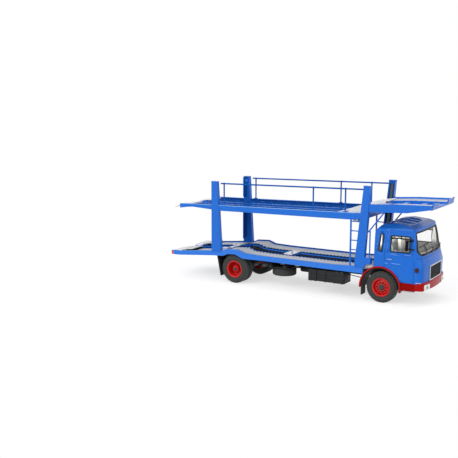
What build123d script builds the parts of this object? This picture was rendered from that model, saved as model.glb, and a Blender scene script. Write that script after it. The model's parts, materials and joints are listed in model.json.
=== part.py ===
"""Scale model of a two-axle car transporter truck, cab over engine, in millimetres.

X points forward, Y to the truck's left, Z up.  The wheels stand on Z = 0 and the origin is the
middle of the model's footprint box.  Heights and lengths are those of the 1:43 model itself.
Loops take their numbers from short tables whose columns are named above them.
"""
from build123d import *
from math import atan2, cos, degrees, hypot, radians, sin, sqrt
import os

os.makedirs("parts", exist_ok=True)

# ------------------------------------------------------------------ driving sizes
wheelbase = 133.0
front_reach = 39.4             # front axle to the tips of the stops on the deck over the cab
rear_reach = 64.4              # rear axle to the lower deck's tail
deck_half_width = 29.0
cab_inset = 1.0                # the cab's sides lie this far inside the decks' sides
wheel_inset = 1.8              # and the wheels' outer faces this far
fit_gap = 0.08                 # radial running clearance of a shaft in its bore
seat_gap = 0.2                 # clearance beside pieces that lie in a frame

tyre_radius = 12.3
rim_radius = 7.5
front_tyre_width = 6.6
twin_tyre_width = 5.8
twin_gap = 0.8
shaft_radius = 1.0

rail_half_width = 9.4
rail_thickness = 2.0
rail_bottom = 17.8
rail_top = 23.4
rail_front = 28.0              # from the front axle, forward
rail_tail = 24.0               # from the rear axle, rearward

beam_thickness = 2.0
inner_beam_y = 6.6             # inner face of the beams beside the middle gap
inner_beam_thickness = 1.5
inner_beam_height = 2.4
track_thickness = 0.8
track_drop = 0.4               # tracks lie this far under the side beams' top edge

post_depth = 4.0               # across the truck
post_proud = 0.6               # posts stand this far outside the side beams
post_top = 90.3
rear_post_top = 87.5

cab_wall = 1.2
cab_rear = -5.9                # from the front axle
cab_front = 35.0
cab_bottom = 18.2
cab_roof = 63.0
cab_floor_top = 30.6
cab_floor_thickness = 1.0
seal_width = 0.7
glass_thickness = 0.5

arch_radius = 17.0
arch_lip = 1.1
liner_thickness = 1.0
bumper_top = 17.8
bumper_bottom = 9.2

front_axle_x = (wheelbase + rear_reach - front_reach) / 2
rear_axle_x = front_axle_x - wheelbase
cab_half_width = deck_half_width - cab_inset
wheel_half_track = deck_half_width - wheel_inset
post_outer = deck_half_width + post_proud
post_inner = post_outer - post_depth
beam_inner = deck_half_width - beam_thickness
inner_beam_outer = inner_beam_y + inner_beam_thickness
rail_inner = rail_half_width - rail_thickness


def from_front(y=0.0):
    """Side-view plane at y: local x runs forward from the front axle, local y is height."""
    return Plane(origin=(front_axle_x, y, 0), x_dir=(1, 0, 0), z_dir=(0, -1, 0))


def from_rear(y=0.0):
    """Side-view plane at y: local x runs forward from the rear axle, local y is height."""
    return Plane(origin=(rear_axle_x, y, 0), x_dir=(1, 0, 0), z_dir=(0, -1, 0))


def front_view(x=0.0):
    """Front-view plane, x forward of the front axle: local x is the truck's left."""
    return Plane(origin=(front_axle_x + x, 0, 0), x_dir=(0, 1, 0), z_dir=(1, 0, 0))


def height_on(line, x):
    """Height at x of a line of (x, z) points that run forward."""
    for (x0, z0), (x1, z1) in zip(line, line[1:]):
        if x0 <= x <= x1:
            return z0 + (z1 - z0) * (x - x0) / (x1 - x0)
    return line[0][1] if x < line[0][0] else line[-1][1]


def stretch(line, x0, x1, rise=0.0):
    """The part of such a line between x0 and x1, raised by rise."""
    inside = [(x, z + rise) for x, z in line if x0 < x < x1]
    return [(x0, height_on(line, x0) + rise)] + inside + [(x1, height_on(line, x1) + rise)]


def band(line, x0, x1, low, high):
    """A filled strip along a line between x0 and x1, from low to high over the line."""
    Polygon(stretch(line, x0, x1, high) + stretch(line, x0, x1, low)[::-1])


def finish(piece, name):
    """Labels a finished piece and writes its STEP file."""
    piece.part.label = name
    export_step(piece.part, f"parts/{name}.step")


# ------------------------------------------------------------------ wheels
front_tyre_inner = wheel_half_track - front_tyre_width
twin_width = 2 * twin_tyre_width + twin_gap
twin_inner = wheel_half_track - twin_width
bead_inset = 0.5               # rim flanges lie this far inside the tyre's faces
rim_wall = 0.9
tyre_shoulder = 1.3
tyre_bead = 0.5
front_disc_depth = 1.6         # outer face of the front wheel's disc, in from the tyre's face
disc_thickness = 1.0
dish_flat = 4.7                # radius of the flat in the front disc's middle
dish_fall = 0.9                # the disc's rim lies this far behind that flat
hub_radius = 1.7
hub_proud = 1.3
hub_taper = 0.4
stud_count = 10
stud_circle = 3.5
stud_hole_radius = 0.36
twin_disc_y = twin_inner + twin_tyre_width
twin_hub_radius = 2.9
twin_hub_length = 4.0


def axle_plane(x):
    """Plane through an axle: local x is the truck's left, local y the radius."""
    return Plane(origin=(x, 0, tyre_radius), x_dir=(0, 1, 0), z_dir=(1, 0, 0))


def across_plane(x, y):
    """Upright plane facing the truck's left, centred on the axle at x."""
    return Plane(origin=(x, y, tyre_radius), x_dir=(1, 0, 0), z_dir=(0, 1, 0))


def axle_axis(x):
    return Axis((x, 0, tyre_radius), (0, 1, 0))


def tyre_section(outer_y, width):
    """Section of one tyre, its outer face at outer_y."""
    with BuildSketch(mode=Mode.PRIVATE) as section:
        with Locations((outer_y - width / 2, (tyre_radius + rim_radius) / 2)):
            Rectangle(width, tyre_radius - rim_radius)
        fillet(section.vertices().group_by(Axis.Y)[-1], tyre_shoulder)
        fillet(section.vertices().group_by(Axis.Y)[0], tyre_bead)
    return section.sketch


# axle x, tyre width, outer faces of the tyres on one side
tyre_rows = {
    "front_tyres": (front_axle_x, front_tyre_width, (wheel_half_track,)),
    "rear_tyres": (rear_axle_x, twin_tyre_width, (wheel_half_track, twin_disc_y)),
}
for name, (axle_x, width, outer_faces) in tyre_rows.items():
    with BuildPart() as tyres:
        with BuildSketch(axle_plane(axle_x)):
            for outer_y in outer_faces:
                add(tyre_section(outer_y, width))
        revolve(axis=axle_axis(axle_x))
        mirror(about=Plane.XZ)
    finish(tyres, name)

with BuildPart() as front_rims:
    disc_face = wheel_half_track - front_disc_depth
    with BuildSketch(axle_plane(front_axle_x)):
        with Locations((front_tyre_inner + front_tyre_width / 2, rim_radius - rim_wall / 2)):
            Rectangle(front_tyre_width - 2 * bead_inset, rim_wall)
        # the disc bulges outward, flat where the studs sit
        Polygon([(disc_face - disc_thickness, 0), (disc_face, 0), (disc_face, dish_flat),
                 (disc_face - dish_fall, rim_radius - rim_wall),
                 (disc_face - dish_fall, rim_radius - rim_wall / 2),
                 (disc_face - dish_fall - disc_thickness, rim_radius - rim_wall / 2),
                 (disc_face - dish_fall - disc_thickness, rim_radius - rim_wall),
                 (disc_face - disc_thickness, dish_flat)])
        Polygon([(disc_face, 0), (disc_face + hub_proud, 0), (disc_face + hub_proud, hub_radius - hub_taper),
                 (disc_face, hub_radius)])
    revolve(axis=axle_axis(front_axle_x))
    with BuildSketch(across_plane(front_axle_x, disc_face)):
        with PolarLocations(stud_circle, stud_count):
            Circle(stud_hole_radius)
        Circle(shaft_radius)
    extrude(amount=-disc_thickness, mode=Mode.SUBTRACT)
    mirror(about=Plane.XZ)
finish(front_rims, "front_rims")

with BuildPart() as rear_rims:
    barrel = twin_width - 2 * bead_inset
    with BuildSketch(axle_plane(rear_axle_x)):
        with Locations((twin_inner + twin_width / 2, rim_radius - rim_wall / 2)):
            Rectangle(barrel, rim_wall)
        with Locations((twin_disc_y - disc_thickness / 2, rim_radius / 2)):
            Rectangle(disc_thickness, rim_radius)
        Polygon([(twin_disc_y, 0), (twin_disc_y + twin_hub_length + hub_proud, 0),
                 (twin_disc_y + twin_hub_length + hub_proud, hub_radius - hub_taper),
                 (twin_disc_y + twin_hub_length, hub_radius),
                 (twin_disc_y + twin_hub_length, twin_hub_radius - hub_taper),
                 (twin_disc_y + twin_hub_length - hub_taper, twin_hub_radius),
                 (twin_disc_y, twin_hub_radius + hub_taper)])
    revolve(axis=axle_axis(rear_axle_x))
    with BuildSketch(across_plane(rear_axle_x, twin_disc_y)):
        Circle(shaft_radius)
    extrude(amount=-disc_thickness, mode=Mode.SUBTRACT)
    mirror(about=Plane.XZ)
finish(rear_rims, "rear_rims")

# axle x, half length
shaft_rows = {
    "front_axle_shaft": (front_axle_x, wheel_half_track - front_disc_depth),
    "rear_axle_shaft": (rear_axle_x, twin_disc_y),
}
for name, (axle_x, half_length) in shaft_rows.items():
    with BuildPart() as shaft:
        with BuildSketch(across_plane(axle_x, 0)):
            Circle(shaft_radius)
        extrude(amount=half_length, both=True)
    finish(shaft, name)

# ------------------------------------------------------------------ chassis
cross_member_width = 2.0
cross_member_inset = 0.8       # under and over the cross members, from the rails' edges
front_member_xs = (26.0, -30.0, -63.0)         # cross members, from the front axle
rear_member_xs = (32.0, 13.0, -13.0)           # and from the rear axle
engine_rear = -9.0
engine_front = 18.0
engine_bottom = 15.2
engine_top = 27.0
gearbox_length = 14.0
gearbox_half_width = 4.0
gearbox_bottom = 15.0
gearbox_top = 21.0
gearbox_shoulder = 6.0         # behind this its underside rises
gearbox_rise = 1.5
gearbox_fall = 1.0
shaft_seat = 1.0               # the propshaft runs this far into the gearbox
shaft_stop = 1.2               # and ends this far from the round axle housing
propshaft_radius = 0.9
beam_half_height = 1.7
axle_boss_radius = 2.4
axle_boss_length = 3.0
tyre_gap = 1.0                 # between the tyres' inner faces and what stands beside them
diff_radius = 4.2
diff_width = 6.0
spring_reach = 12.0
spring_thickness = 1.2
hanger_width = 1.6
hanger_drop = 0.9

rail_x1 = front_axle_x + rail_front
rail_x0 = rear_axle_x - rail_tail
with BuildPart() as chassis_frame:
    rail_middle_y = rail_half_width - rail_thickness / 2
    with Locations(((rail_x0 + rail_x1) / 2, rail_middle_y, (rail_bottom + rail_top) / 2)):
        Box(rail_x1 - rail_x0, rail_thickness, rail_top - rail_bottom)
    mirror(about=Plane.XZ)
    cross_height = rail_top - rail_bottom - 2 * cross_member_inset
    cross_members = [front_axle_x + x for x in front_member_xs] + [rear_axle_x + x for x in rear_member_xs]
    cross_members.append(rail_x0 + cross_member_width / 2)
    for x in cross_members:
        with Locations((x, 0, (rail_bottom + rail_top) / 2)):
            Box(cross_member_width, 2 * rail_inner, cross_height)
finish(chassis_frame, "chassis_frame")

with BuildPart() as engine_block:
    with BuildSketch(from_front()):
        Polygon([(engine_rear, engine_bottom), (engine_front, engine_bottom), (engine_front, engine_top),
                 (engine_rear, engine_top)])
    extrude(amount=rail_inner, both=True)
finish(engine_block, "engine_block")

shaft_from = (front_axle_x + engine_rear - gearbox_length, (gearbox_bottom + gearbox_top) / 2)
shaft_to = (rear_axle_x + diff_radius + shaft_stop, tyre_radius)
shaft_slope = atan2(shaft_to[1] - shaft_from[1], shaft_to[0] - shaft_from[0])
with BuildPart() as gearbox_and_propshaft:
    with BuildSketch(from_front()):
        Polygon([(engine_rear - gearbox_length, gearbox_bottom + gearbox_rise),
                 (engine_rear - gearbox_shoulder, gearbox_bottom), (engine_rear, gearbox_bottom),
                 (engine_rear, gearbox_top), (engine_rear - gearbox_length, gearbox_top - gearbox_fall)])
    extrude(amount=gearbox_half_width, both=True)
    axis_dir = (cos(shaft_slope), 0, sin(shaft_slope))
    shaft_start = (shaft_from[0] + shaft_seat, 0, shaft_from[1])
    with BuildSketch(Plane(origin=shaft_start, x_dir=(0, 1, 0), z_dir=axis_dir)):
        Circle(propshaft_radius)
    extrude(amount=hypot(shaft_to[0] - shaft_from[0], shaft_to[1] - shaft_from[1]))
finish(gearbox_and_propshaft, "gearbox_and_propshaft")

# axle x, half length, radius of the round housing in the middle or 0
axle_rows = {
    "front_axle_beam": (front_axle_x, front_tyre_inner - tyre_gap, 0),
    "rear_axle_housing": (rear_axle_x, twin_inner - tyre_gap, diff_radius),
}
for name, (axle_x, half_length, ball) in axle_rows.items():
    with BuildPart() as axle:
        with Locations((axle_x, 0, tyre_radius)):
            Box(2 * beam_half_height, 2 * half_length, 2 * beam_half_height)
        for end in (-1, 1):
            with BuildSketch(across_plane(axle_x, end * half_length)):
                Circle(axle_boss_radius)
            extrude(amount=-end * axle_boss_length)
        if ball:
            with BuildSketch(across_plane(axle_x, 0)):
                Circle(ball)
            extrude(amount=diff_width / 2, both=True)
        with BuildSketch(across_plane(axle_x, 0)):
            Circle(shaft_radius + fit_gap)
        extrude(amount=half_length, both=True, mode=Mode.SUBTRACT)
    finish(axle, name)

with BuildPart() as leaf_springs:
    spring_top = tyre_radius + beam_half_height + spring_thickness
    hanger_base = rail_bottom - hanger_drop
    for axle_plane_side in (from_front(), from_rear()):
        with BuildSketch(axle_plane_side.offset(rail_inner)):
            with BuildLine():
                ThreePointArc((-spring_reach, hanger_base), (0, spring_top), (spring_reach, hanger_base))
                Line((spring_reach, hanger_base), (spring_reach, hanger_base - spring_thickness))
                ThreePointArc((spring_reach, hanger_base - spring_thickness),
                              (0, spring_top - spring_thickness),
                              (-spring_reach, hanger_base - spring_thickness))
                Line((-spring_reach, hanger_base - spring_thickness), (-spring_reach, hanger_base))
            make_face()
            for end in (-1, 1):
                x = end * (spring_reach - hanger_width / 2)
                with Locations((x, (rail_bottom + hanger_base - spring_thickness) / 2)):
                    Rectangle(hanger_width, rail_bottom - hanger_base + spring_thickness)
        extrude(amount=rail_thickness)
    mirror(about=Plane.XZ)
finish(leaf_springs, "leaf_springs")

# ------------------------------------------------------------------ lower deck
arch_x = -0.6                  # middle of the wheel arch, from the front axle
arch_z = 12.2
arch_clearance = 0.25          # between the deck and the wheel arch
deck_front_z = 22.1            # underside of the side beams at the front
arch_clear_radius = arch_radius + arch_clearance
deck_front = wheelbase + arch_x - sqrt(arch_clear_radius ** 2 - (deck_front_z - arch_z) ** 2)
step_down = 42.4               # the beams' front run starts this far behind the front axle
# Side view of the side beams from the rear axle: x, z.  They rise over the rear wheels.
lower_top = [(-rear_reach, 22.5), (-55.0, 22.9), (-22.0, 26.2), (-10.8, 27.1), (-7.0, 28.8), (4.5, 29.4),
             (11.2, 27.0), (26.5, 26.4), (wheelbase - step_down, 26.0), (deck_front, 26.9)]
lower_bottom = [(-rear_reach, 19.6), (-55.0, 19.8), (-22.0, 22.6), (-10.2, 23.3), (-6.1, 25.3), (2.1, 25.7),
                (9.2, 22.7), (26.5, 22.9), (wheelbase - step_down, 22.3), (deck_front, deck_front_z)]
lamp_length = 2.0
lamp_width = 3.2
lamp_margin = 0.2              # the lamps are this much smaller than the beams' ends, above and below
brace_width = 2.0
brace_height = 1.6
lower_brace_height = 1.2
lower_brace_count = 9
pad_length = 5.0
pad_reach = 20.0               # the pads nearest the rear axle, behind and in front of it
front_pad_back = 21.0          # the front pad, behind the front axle
front_pad_count = 3
pad_seat = 0.5                 # beams sit this deep in their pads
tail_bridge = 3.0              # lengths of the bridges across the middle gap
deck_bridge = 8.0
bridge_height = 1.2
bridge_lift = 0.4              # bridges lie this far over the inner beams' underside
tooth_pitch = 3.2
tooth_depth = 0.7
tooth_gap = 1.6
track_start = 6.0              # tracks and their teeth start this far from the deck's tail
track_front = 2.0              # tracks run on past the side beams
stop_height = 2.6              # stops stand this far over the tracks' front ends
stop_front = -7.0              # from the front axle

lower_tail = -rear_reach + lamp_length
track_end = deck_front + track_front
brace_pitch = (deck_front - brace_width - lower_tail) / (lower_brace_count - 1)
brace_top = -track_drop - track_thickness
pad_pitch = (wheelbase - front_pad_back - pad_reach) / front_pad_count
pad_xs = [-pad_reach, pad_reach] + [pad_reach + (i + 1) * pad_pitch for i in range(front_pad_count)]
# bridges across the middle gap, from the rear axle: x, length
bridge_rows = [(lower_tail + tail_bridge / 2, tail_bridge), (-18.0, tail_bridge),
               (wheelbase - 90.0, deck_bridge), (wheelbase - 25.0, deck_bridge)]
with BuildPart() as lower_deck_frame:
    with BuildSketch(from_rear(-beam_inner)):
        Polygon(stretch(lower_top, lower_tail, deck_front)
                + stretch(lower_bottom, lower_tail, deck_front)[::-1])
    extrude(amount=beam_thickness)
    with BuildSketch(from_rear(-inner_beam_y)):
        band(lower_top, lower_tail, track_end, -inner_beam_height, 0)
    extrude(amount=inner_beam_thickness)
    with BuildSketch(from_rear(-inner_beam_outer)):
        for i in range(lower_brace_count):
            x = lower_tail + i * brace_pitch
            band(lower_top, x, x + brace_width, brace_top - lower_brace_height, brace_top)
    extrude(amount=beam_inner - inner_beam_outer)
    # pads that stand on the chassis rails
    for x in pad_xs:
        pad_top = height_on(lower_top, x) - inner_beam_height + pad_seat
        with BuildSketch(from_rear(-rail_inner)):
            with Locations((x, (rail_top + pad_top) / 2)):
                Rectangle(pad_length, pad_top - rail_top)
        extrude(amount=inner_beam_outer - rail_inner)
    mirror(about=Plane.XZ)
    for x, length in bridge_rows:
        low = height_on(lower_top, x) - inner_beam_height + bridge_lift
        with BuildSketch(from_rear()):
            with Locations((x, low + bridge_height / 2)):
                Rectangle(length, bridge_height)
        extrude(amount=inner_beam_y, both=True)
finish(lower_deck_frame, "lower_deck_frame")

with BuildPart() as lower_deck_tracks:
    with BuildSketch(from_rear(-inner_beam_outer)):
        band(lower_top, lower_tail + track_start, track_end, brace_top, -track_drop)
    extrude(amount=beam_inner - inner_beam_outer)
    # notches along the inner edge
    tooth_count = int((track_end - lower_tail - track_start - tooth_gap) / tooth_pitch)
    with BuildSketch(Plane.XY.offset(lower_bottom[0][1])):
        for i in range(tooth_count):
            x = rear_axle_x + lower_tail + track_start + tooth_gap + i * tooth_pitch
            with Locations((x, -inner_beam_outer - tooth_depth / 2)):
                Rectangle(tooth_gap, tooth_depth)
    extrude(amount=lower_top[5][1] - lower_bottom[0][1], mode=Mode.SUBTRACT)
    # stops at the front, lying along the wheel arch
    stop_rear = deck_front - wheelbase + arch_clearance
    stop_low = height_on(lower_top, deck_front) - track_drop - track_thickness
    stop_top = stop_low + track_thickness + stop_height
    stop_toe = arch_x - sqrt(arch_clear_radius ** 2 - (stop_low - arch_z) ** 2)
    stop_toe_z = arch_z + sqrt(arch_clear_radius ** 2 - (stop_front - arch_x) ** 2)
    with BuildSketch(from_front(-inner_beam_outer - tooth_depth)):
        Polygon([(stop_rear, stop_low), (stop_toe, stop_low), (stop_front, stop_toe_z),
                 (stop_front, stop_top), (stop_rear, stop_top)])
    extrude(amount=post_inner - seat_gap - inner_beam_outer - tooth_depth)
    mirror(about=Plane.XZ)
finish(lower_deck_tracks, "lower_deck_tracks")

with BuildPart() as tail_lamps:
    with BuildSketch(from_rear(-deck_half_width + lamp_width)):
        Polygon(stretch(lower_top, -rear_reach, lower_tail, -lamp_margin)
                + stretch(lower_bottom, -rear_reach, lower_tail, lamp_margin)[::-1])
    extrude(amount=lamp_width)
    mirror(about=Plane.XZ)
finish(tail_lamps, "tail_lamps")

# ------------------------------------------------------------------ posts
# Rear posts from the rear axle: x of the rear and front edges at the foot, then at the top
rear_post_edges = (-21.7, -12.2, -21.7, -15.9)
# Front posts from the front axle, leaning forward
front_post_edges = (-21.9, -14.0, -15.3, -9.9)
post_edge = 0.35               # chamfer along the posts' corners
cap_height = 0.8
cap_proud = 0.4
bracket_front = -8.4
bracket_low = 30.1
bracket_high = 35.3
bracket_heel = 2.2             # the bracket's lower edge starts this far in front of the post's toe
bracket_seat = 0.2             # the bracket reaches this far into the post
rail_y = (post_outer + post_inner) / 2


def front_foot(x):
    """Height of the lower deck's side beam at x from the front axle."""
    return height_on(lower_top, x + wheelbase)


mark_radius = 1.9              # round plates on the posts' inner faces
mark_proud = 0.3
mark_inset = 4.0               # from the post's foot and head
rear_foot, rear_toe, rear_head, rear_brow = rear_post_edges
with BuildPart() as rear_posts:
    with BuildSketch(from_rear(-post_inner)):
        Polygon([(rear_foot, height_on(lower_top, rear_foot)), (rear_toe, height_on(lower_top, rear_toe)),
                 (rear_brow, rear_post_top), (rear_head, rear_post_top)])
    extrude(amount=post_depth)
    upright = rear_posts.edges().filter_by(lambda e: e.length > rear_post_top / 2)
    chamfer(upright, post_edge)
    with BuildSketch(from_rear(-post_inner)):
        with Locations(((rear_foot + rear_toe) / 2, height_on(lower_top, rear_foot) + mark_inset),
                       ((rear_head + rear_brow) / 2, rear_post_top - mark_inset)):
            Circle(mark_radius)
    extrude(amount=-mark_proud)
    mirror(about=Plane.XZ)
finish(rear_posts, "rear_posts")

front_heel, front_toe, front_head, front_brow = front_post_edges
channel_wall = 0.9
channel_foot = 3.0             # the channel starts this far over the post's foot
channel_head = 2.0             # and ends this far under its top
foot_line = [(x - wheelbase, z) for x, z in lower_top]
front_outline = stretch(foot_line, front_heel, front_toe) + [(front_brow, post_top), (front_head, post_top)]
with BuildPart() as front_post_forms:
    with BuildSketch(from_front(-post_inner)):
        Polygon(front_outline)
    extrude(amount=post_depth)
    mirror(about=Plane.XZ)

with BuildPart() as front_posts:
    with BuildSketch(from_front(-post_inner)):
        Polygon(front_outline)
    extrude(amount=post_depth)
    with BuildSketch(from_front(-post_inner)):
        Polygon([(front_heel + channel_wall, front_foot(front_heel) + channel_foot),
                 (front_toe - channel_wall, front_foot(front_toe) + channel_foot),
                 (front_brow - channel_wall, post_top - channel_head),
                 (front_head + channel_wall, post_top - channel_head)])
    extrude(amount=post_depth - channel_wall, mode=Mode.SUBTRACT)
    with BuildSketch(from_front(-post_inner)):
        Polygon([(front_toe - bracket_seat, front_foot(front_toe)), (front_toe + bracket_heel, bracket_low),
                 (bracket_front, bracket_low), (bracket_front, bracket_high),
                 (front_toe - bracket_seat, bracket_high)])
    extrude(amount=post_depth)
    with BuildSketch(Plane((front_axle_x + (front_head + front_brow) / 2, -rail_y, post_top))):
        RectangleRounded(front_brow - front_head + 2 * cap_proud, post_depth + 2 * cap_proud, 2 * cap_proud)
    extrude(amount=cap_height)
    mirror(about=Plane.XZ)
finish(front_posts, "front_posts")

# ------------------------------------------------------------------ upper deck
# Side view of the upper deck's side beams: x from the rear axle, z
upper_tail = -54.7
upper_front = wheelbase - 15.0
upper_top = [(upper_tail, 66.2), (-43.0, 66.6), (-21.7, 66.9), (-10.7, 67.1), (wheelbase - 26.3, 69.4),
             (upper_front, 69.7)]
upper_bottom = [(upper_tail, 62.3), (-42.8, 64.1), (-21.7, 62.9), (wheelbase - 26.3, 64.6),
                (upper_front, 64.9)]
lattice_pitch = 13.0
lattice_width = 1.6
lattice_height = 1.5
lattice_drop = 1.6             # the inner structure lies this far under the side beams' top edge
lattice_gap = 0.6              # between the ends of neighbouring bars
lattice_start = upper_tail + 8.0
upper_bar_seat = 2.0           # the front cross bar's middle, behind the cross beam
cross_beam_x0 = -17.0          # cross beam between the front posts, from the front axle
cross_beam_x1 = -11.5
cross_beam_low = 66.0
cross_beam_high = 70.4
cross_bar_width = 3.0
cross_bar_height = 1.4

inner_front = wheelbase + cross_beam_x0
lattice_end = inner_front - 2 * brace_width
lattice_count = int((lattice_end - lattice_start) / lattice_pitch)
lattice_step = (lattice_end - lattice_start) / lattice_count
# cross bars between the inner beams, and braces from those to the side beams, from the rear axle
upper_bar_xs = (upper_tail + cross_bar_width / 2, -20.0, 20.0, wheelbase - 73.0,
                inner_front - upper_bar_seat)
upper_brace_xs = (upper_tail + brace_width / 2, lattice_start - brace_width, inner_front - brace_width / 2)
with BuildPart() as upper_deck_frame:
    with BuildSketch(from_rear(-beam_inner)):
        Polygon(stretch(upper_top, upper_tail, upper_front)
                + stretch(upper_bottom, upper_tail, upper_front)[::-1])
    extrude(amount=beam_thickness)
    with BuildSketch(from_rear(-inner_beam_y)):
        band(upper_top, upper_tail, inner_front, -lattice_drop - inner_beam_height, -lattice_drop)
    extrude(amount=inner_beam_thickness)
    for x in upper_brace_xs:
        with BuildSketch(from_rear(-inner_beam_outer)):
            with Locations((x, height_on(upper_top, x) - lattice_drop - brace_height / 2)):
                Rectangle(brace_width, brace_height)
        extrude(amount=beam_inner - inner_beam_outer)
    mirror(about=Plane.XZ)
    for x in upper_bar_xs:
        with BuildSketch(from_rear()):
            with Locations((x, height_on(upper_top, x) - lattice_drop - inner_beam_height / 2)):
                Rectangle(cross_bar_width, cross_bar_height)
        extrude(amount=inner_beam_y, both=True)
    add(rear_posts.part, mode=Mode.SUBTRACT)
    add(front_post_forms.part, mode=Mode.SUBTRACT)
finish(upper_deck_frame, "upper_deck_frame")

with BuildPart() as upper_deck_lattice:
    # zigzag bars from the inner beams to the side beams, in plan
    with BuildSketch():
        for i in range(lattice_count):
            x0 = rear_axle_x + lattice_start + i * lattice_step
            x1 = x0 + lattice_step - lattice_width - lattice_gap
            near, far = (x0, x1) if i % 2 else (x1, x0)
            Polygon([(near, -inner_beam_outer), (far, -beam_inner), (far + lattice_width, -beam_inner),
                     (near + lattice_width, -inner_beam_outer)])
    extrude(amount=post_top)
    with BuildSketch(from_rear(-inner_beam_outer)):
        band(upper_top, upper_tail, inner_front, -lattice_drop - lattice_height, -lattice_drop)
    extrude(amount=beam_inner - inner_beam_outer, mode=Mode.INTERSECT)
    mirror(about=Plane.XZ)
    add(rear_posts.part, mode=Mode.SUBTRACT)
    add(front_post_forms.part, mode=Mode.SUBTRACT)
finish(upper_deck_lattice, "upper_deck_lattice")

with BuildPart() as front_cross_beam:
    with BuildSketch(from_front()):
        Polygon([(cross_beam_x0, cross_beam_low), (cross_beam_x1, cross_beam_low),
                 (cross_beam_x1, cross_beam_high), (cross_beam_x0, cross_beam_high)])
    extrude(amount=post_inner, both=True)
finish(front_cross_beam, "front_cross_beam")

# ------------------------------------------------------------------ deck over the cab
# Side view of its side beams from the front axle: x, z
nose_lean = 1.2                # the stops at its front end lean forward by this much
cab_deck_rear = -12.0
cab_deck_front = front_reach - nose_lean
cab_deck_top = [(cab_deck_rear, 76.9), (-6.7, 77.2), (10.3, 78.3), (cab_deck_front, 79.0)]
cab_deck_bottom = [(cab_deck_rear, 70.9), (-1.7, 71.3), (19.6, 72.2), (cab_deck_front, 75.8)]
cab_inner_y = 11.0             # inner face of this deck's inner beams
cab_inner_thickness = 1.3
cab_inner_lift = 0.8           # they end this far over the side beams' underside
cab_track_drop = 1.3
cab_track_rear = -7.2
# cross bars of this deck, from the front axle
cab_bar_xs = (-6.4, 8.0, 23.0, cab_deck_front - cross_bar_width / 2)
nose_thickness = 0.9
nose_top = 80.4
nose_inner_top = 79.4
cab_inner_outer = cab_inner_y + cab_inner_thickness
with BuildPart() as cab_deck_frame:
    with BuildSketch(from_front(-beam_inner)):
        Polygon(cab_deck_top + cab_deck_bottom[::-1])
    extrude(amount=beam_thickness)
    with BuildSketch(from_front(-cab_inner_y)):
        Polygon(stretch(cab_deck_top, cab_track_rear, cab_deck_front, -cab_track_drop)
                + stretch(cab_deck_bottom, cab_track_rear, cab_deck_front, cab_inner_lift)[::-1])
    extrude(amount=cab_inner_thickness)
    for x in cab_bar_xs:
        bar_top = height_on(cab_deck_top, x) - cab_track_drop - track_thickness - seat_gap
        with BuildSketch(from_front()):
            with Locations((x, bar_top - cross_bar_height / 2)):
                Rectangle(cross_bar_width, cross_bar_height)
        extrude(amount=beam_inner)
    # stops at the tracks' ends, leaning forward and lower on their inner side
    with BuildSketch(from_front(-cab_inner_outer)):
        Polygon([(cab_deck_front - nose_thickness, height_on(cab_deck_bottom, cab_deck_front)),
                 (cab_deck_front, height_on(cab_deck_bottom, cab_deck_front)),
                 (cab_deck_front + nose_lean, nose_top),
                 (cab_deck_front + nose_lean - nose_thickness, nose_top)])
    extrude(amount=beam_inner - cab_inner_outer)
    with BuildSketch(front_view(cab_deck_front - nose_thickness)):
        Polygon([(-cab_inner_outer, nose_inner_top), (-beam_inner, nose_top),
                 (-beam_inner, nose_top + nose_lean), (-cab_inner_outer, nose_top + nose_lean)])
    extrude(amount=nose_lean + nose_thickness, mode=Mode.SUBTRACT)
    mirror(about=Plane.XZ)
    add(front_post_forms.part, mode=Mode.SUBTRACT)
finish(cab_deck_frame, "cab_deck_frame")

with BuildPart() as cab_deck_tracks:
    with BuildSketch(from_front(-cab_inner_outer)):
        band(cab_deck_top, cab_track_rear, cab_deck_front - nose_thickness,
             -cab_track_drop - track_thickness, -cab_track_drop)
    extrude(amount=beam_inner - cab_inner_outer)
    mirror(about=Plane.XZ)
finish(cab_deck_tracks, "cab_deck_tracks")

# Ramps from the main upper deck up to the deck over the cab: x from the front axle, z
ramp_y0 = 9.0
ramp_y1 = post_inner - 2 * seat_gap
ramp_cheek = 0.8
ramp_line = [(-39.0, 68.7), (-32.0, 71.0), (-19.2, 75.2), (-8.0, 76.5)]
ramp_tip = 1.0                 # the cheeks start this far from the ramps' rear ends
cheek_rear = ramp_line[0][0] + ramp_tip
cheek_rear_z = height_on(upper_top, wheelbase + cross_beam_x0) - lattice_drop + seat_gap
cheek_front_z = cross_beam_high + seat_gap
with BuildPart() as transition_ramps:
    with BuildSketch(from_front(-ramp_y0)):
        band(ramp_line, ramp_line[0][0], ramp_line[-1][0], -track_thickness, 0)
    extrude(amount=ramp_y1 - ramp_y0)
    for y in (ramp_y0, ramp_y1 - ramp_cheek):
        with BuildSketch(from_front(-y)):
            Polygon(stretch(ramp_line, cheek_rear, cross_beam_x1, -track_thickness / 2)
                    + [(cross_beam_x1, cheek_front_z), (cross_beam_x0 - seat_gap, cheek_front_z),
                       (cross_beam_x0 - seat_gap, cheek_rear_z), (cheek_rear, cheek_rear_z)])
        extrude(amount=ramp_cheek)
    mirror(about=Plane.XZ)
finish(transition_ramps, "transition_ramps")

# Loading flaps hinged at the decks' tails
flap_y0 = 9.0
flap_y1 = post_inner
# name: x from the rear axle and z of the upper surface at its tip, knee and hinge
flap_rows = {
    "lower_rear_flaps": [(lower_tail - 1.0, 23.4), (lower_tail + 4.4, 24.4), (lower_tail + 18.4, 26.4)],
    "upper_rear_flaps": [(upper_tail - 7.5, 62.9), (upper_tail - 0.2, 65.8), (upper_tail + 8.7, 66.3)],
}
for name, line in flap_rows.items():
    with BuildPart() as flaps:
        with BuildSketch(from_rear(-flap_y0)):
            band(line, line[0][0], line[-1][0], -track_thickness, 0)
        extrude(amount=flap_y1 - flap_y0)
        mirror(about=Plane.XZ)
    finish(flaps, name)

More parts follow.
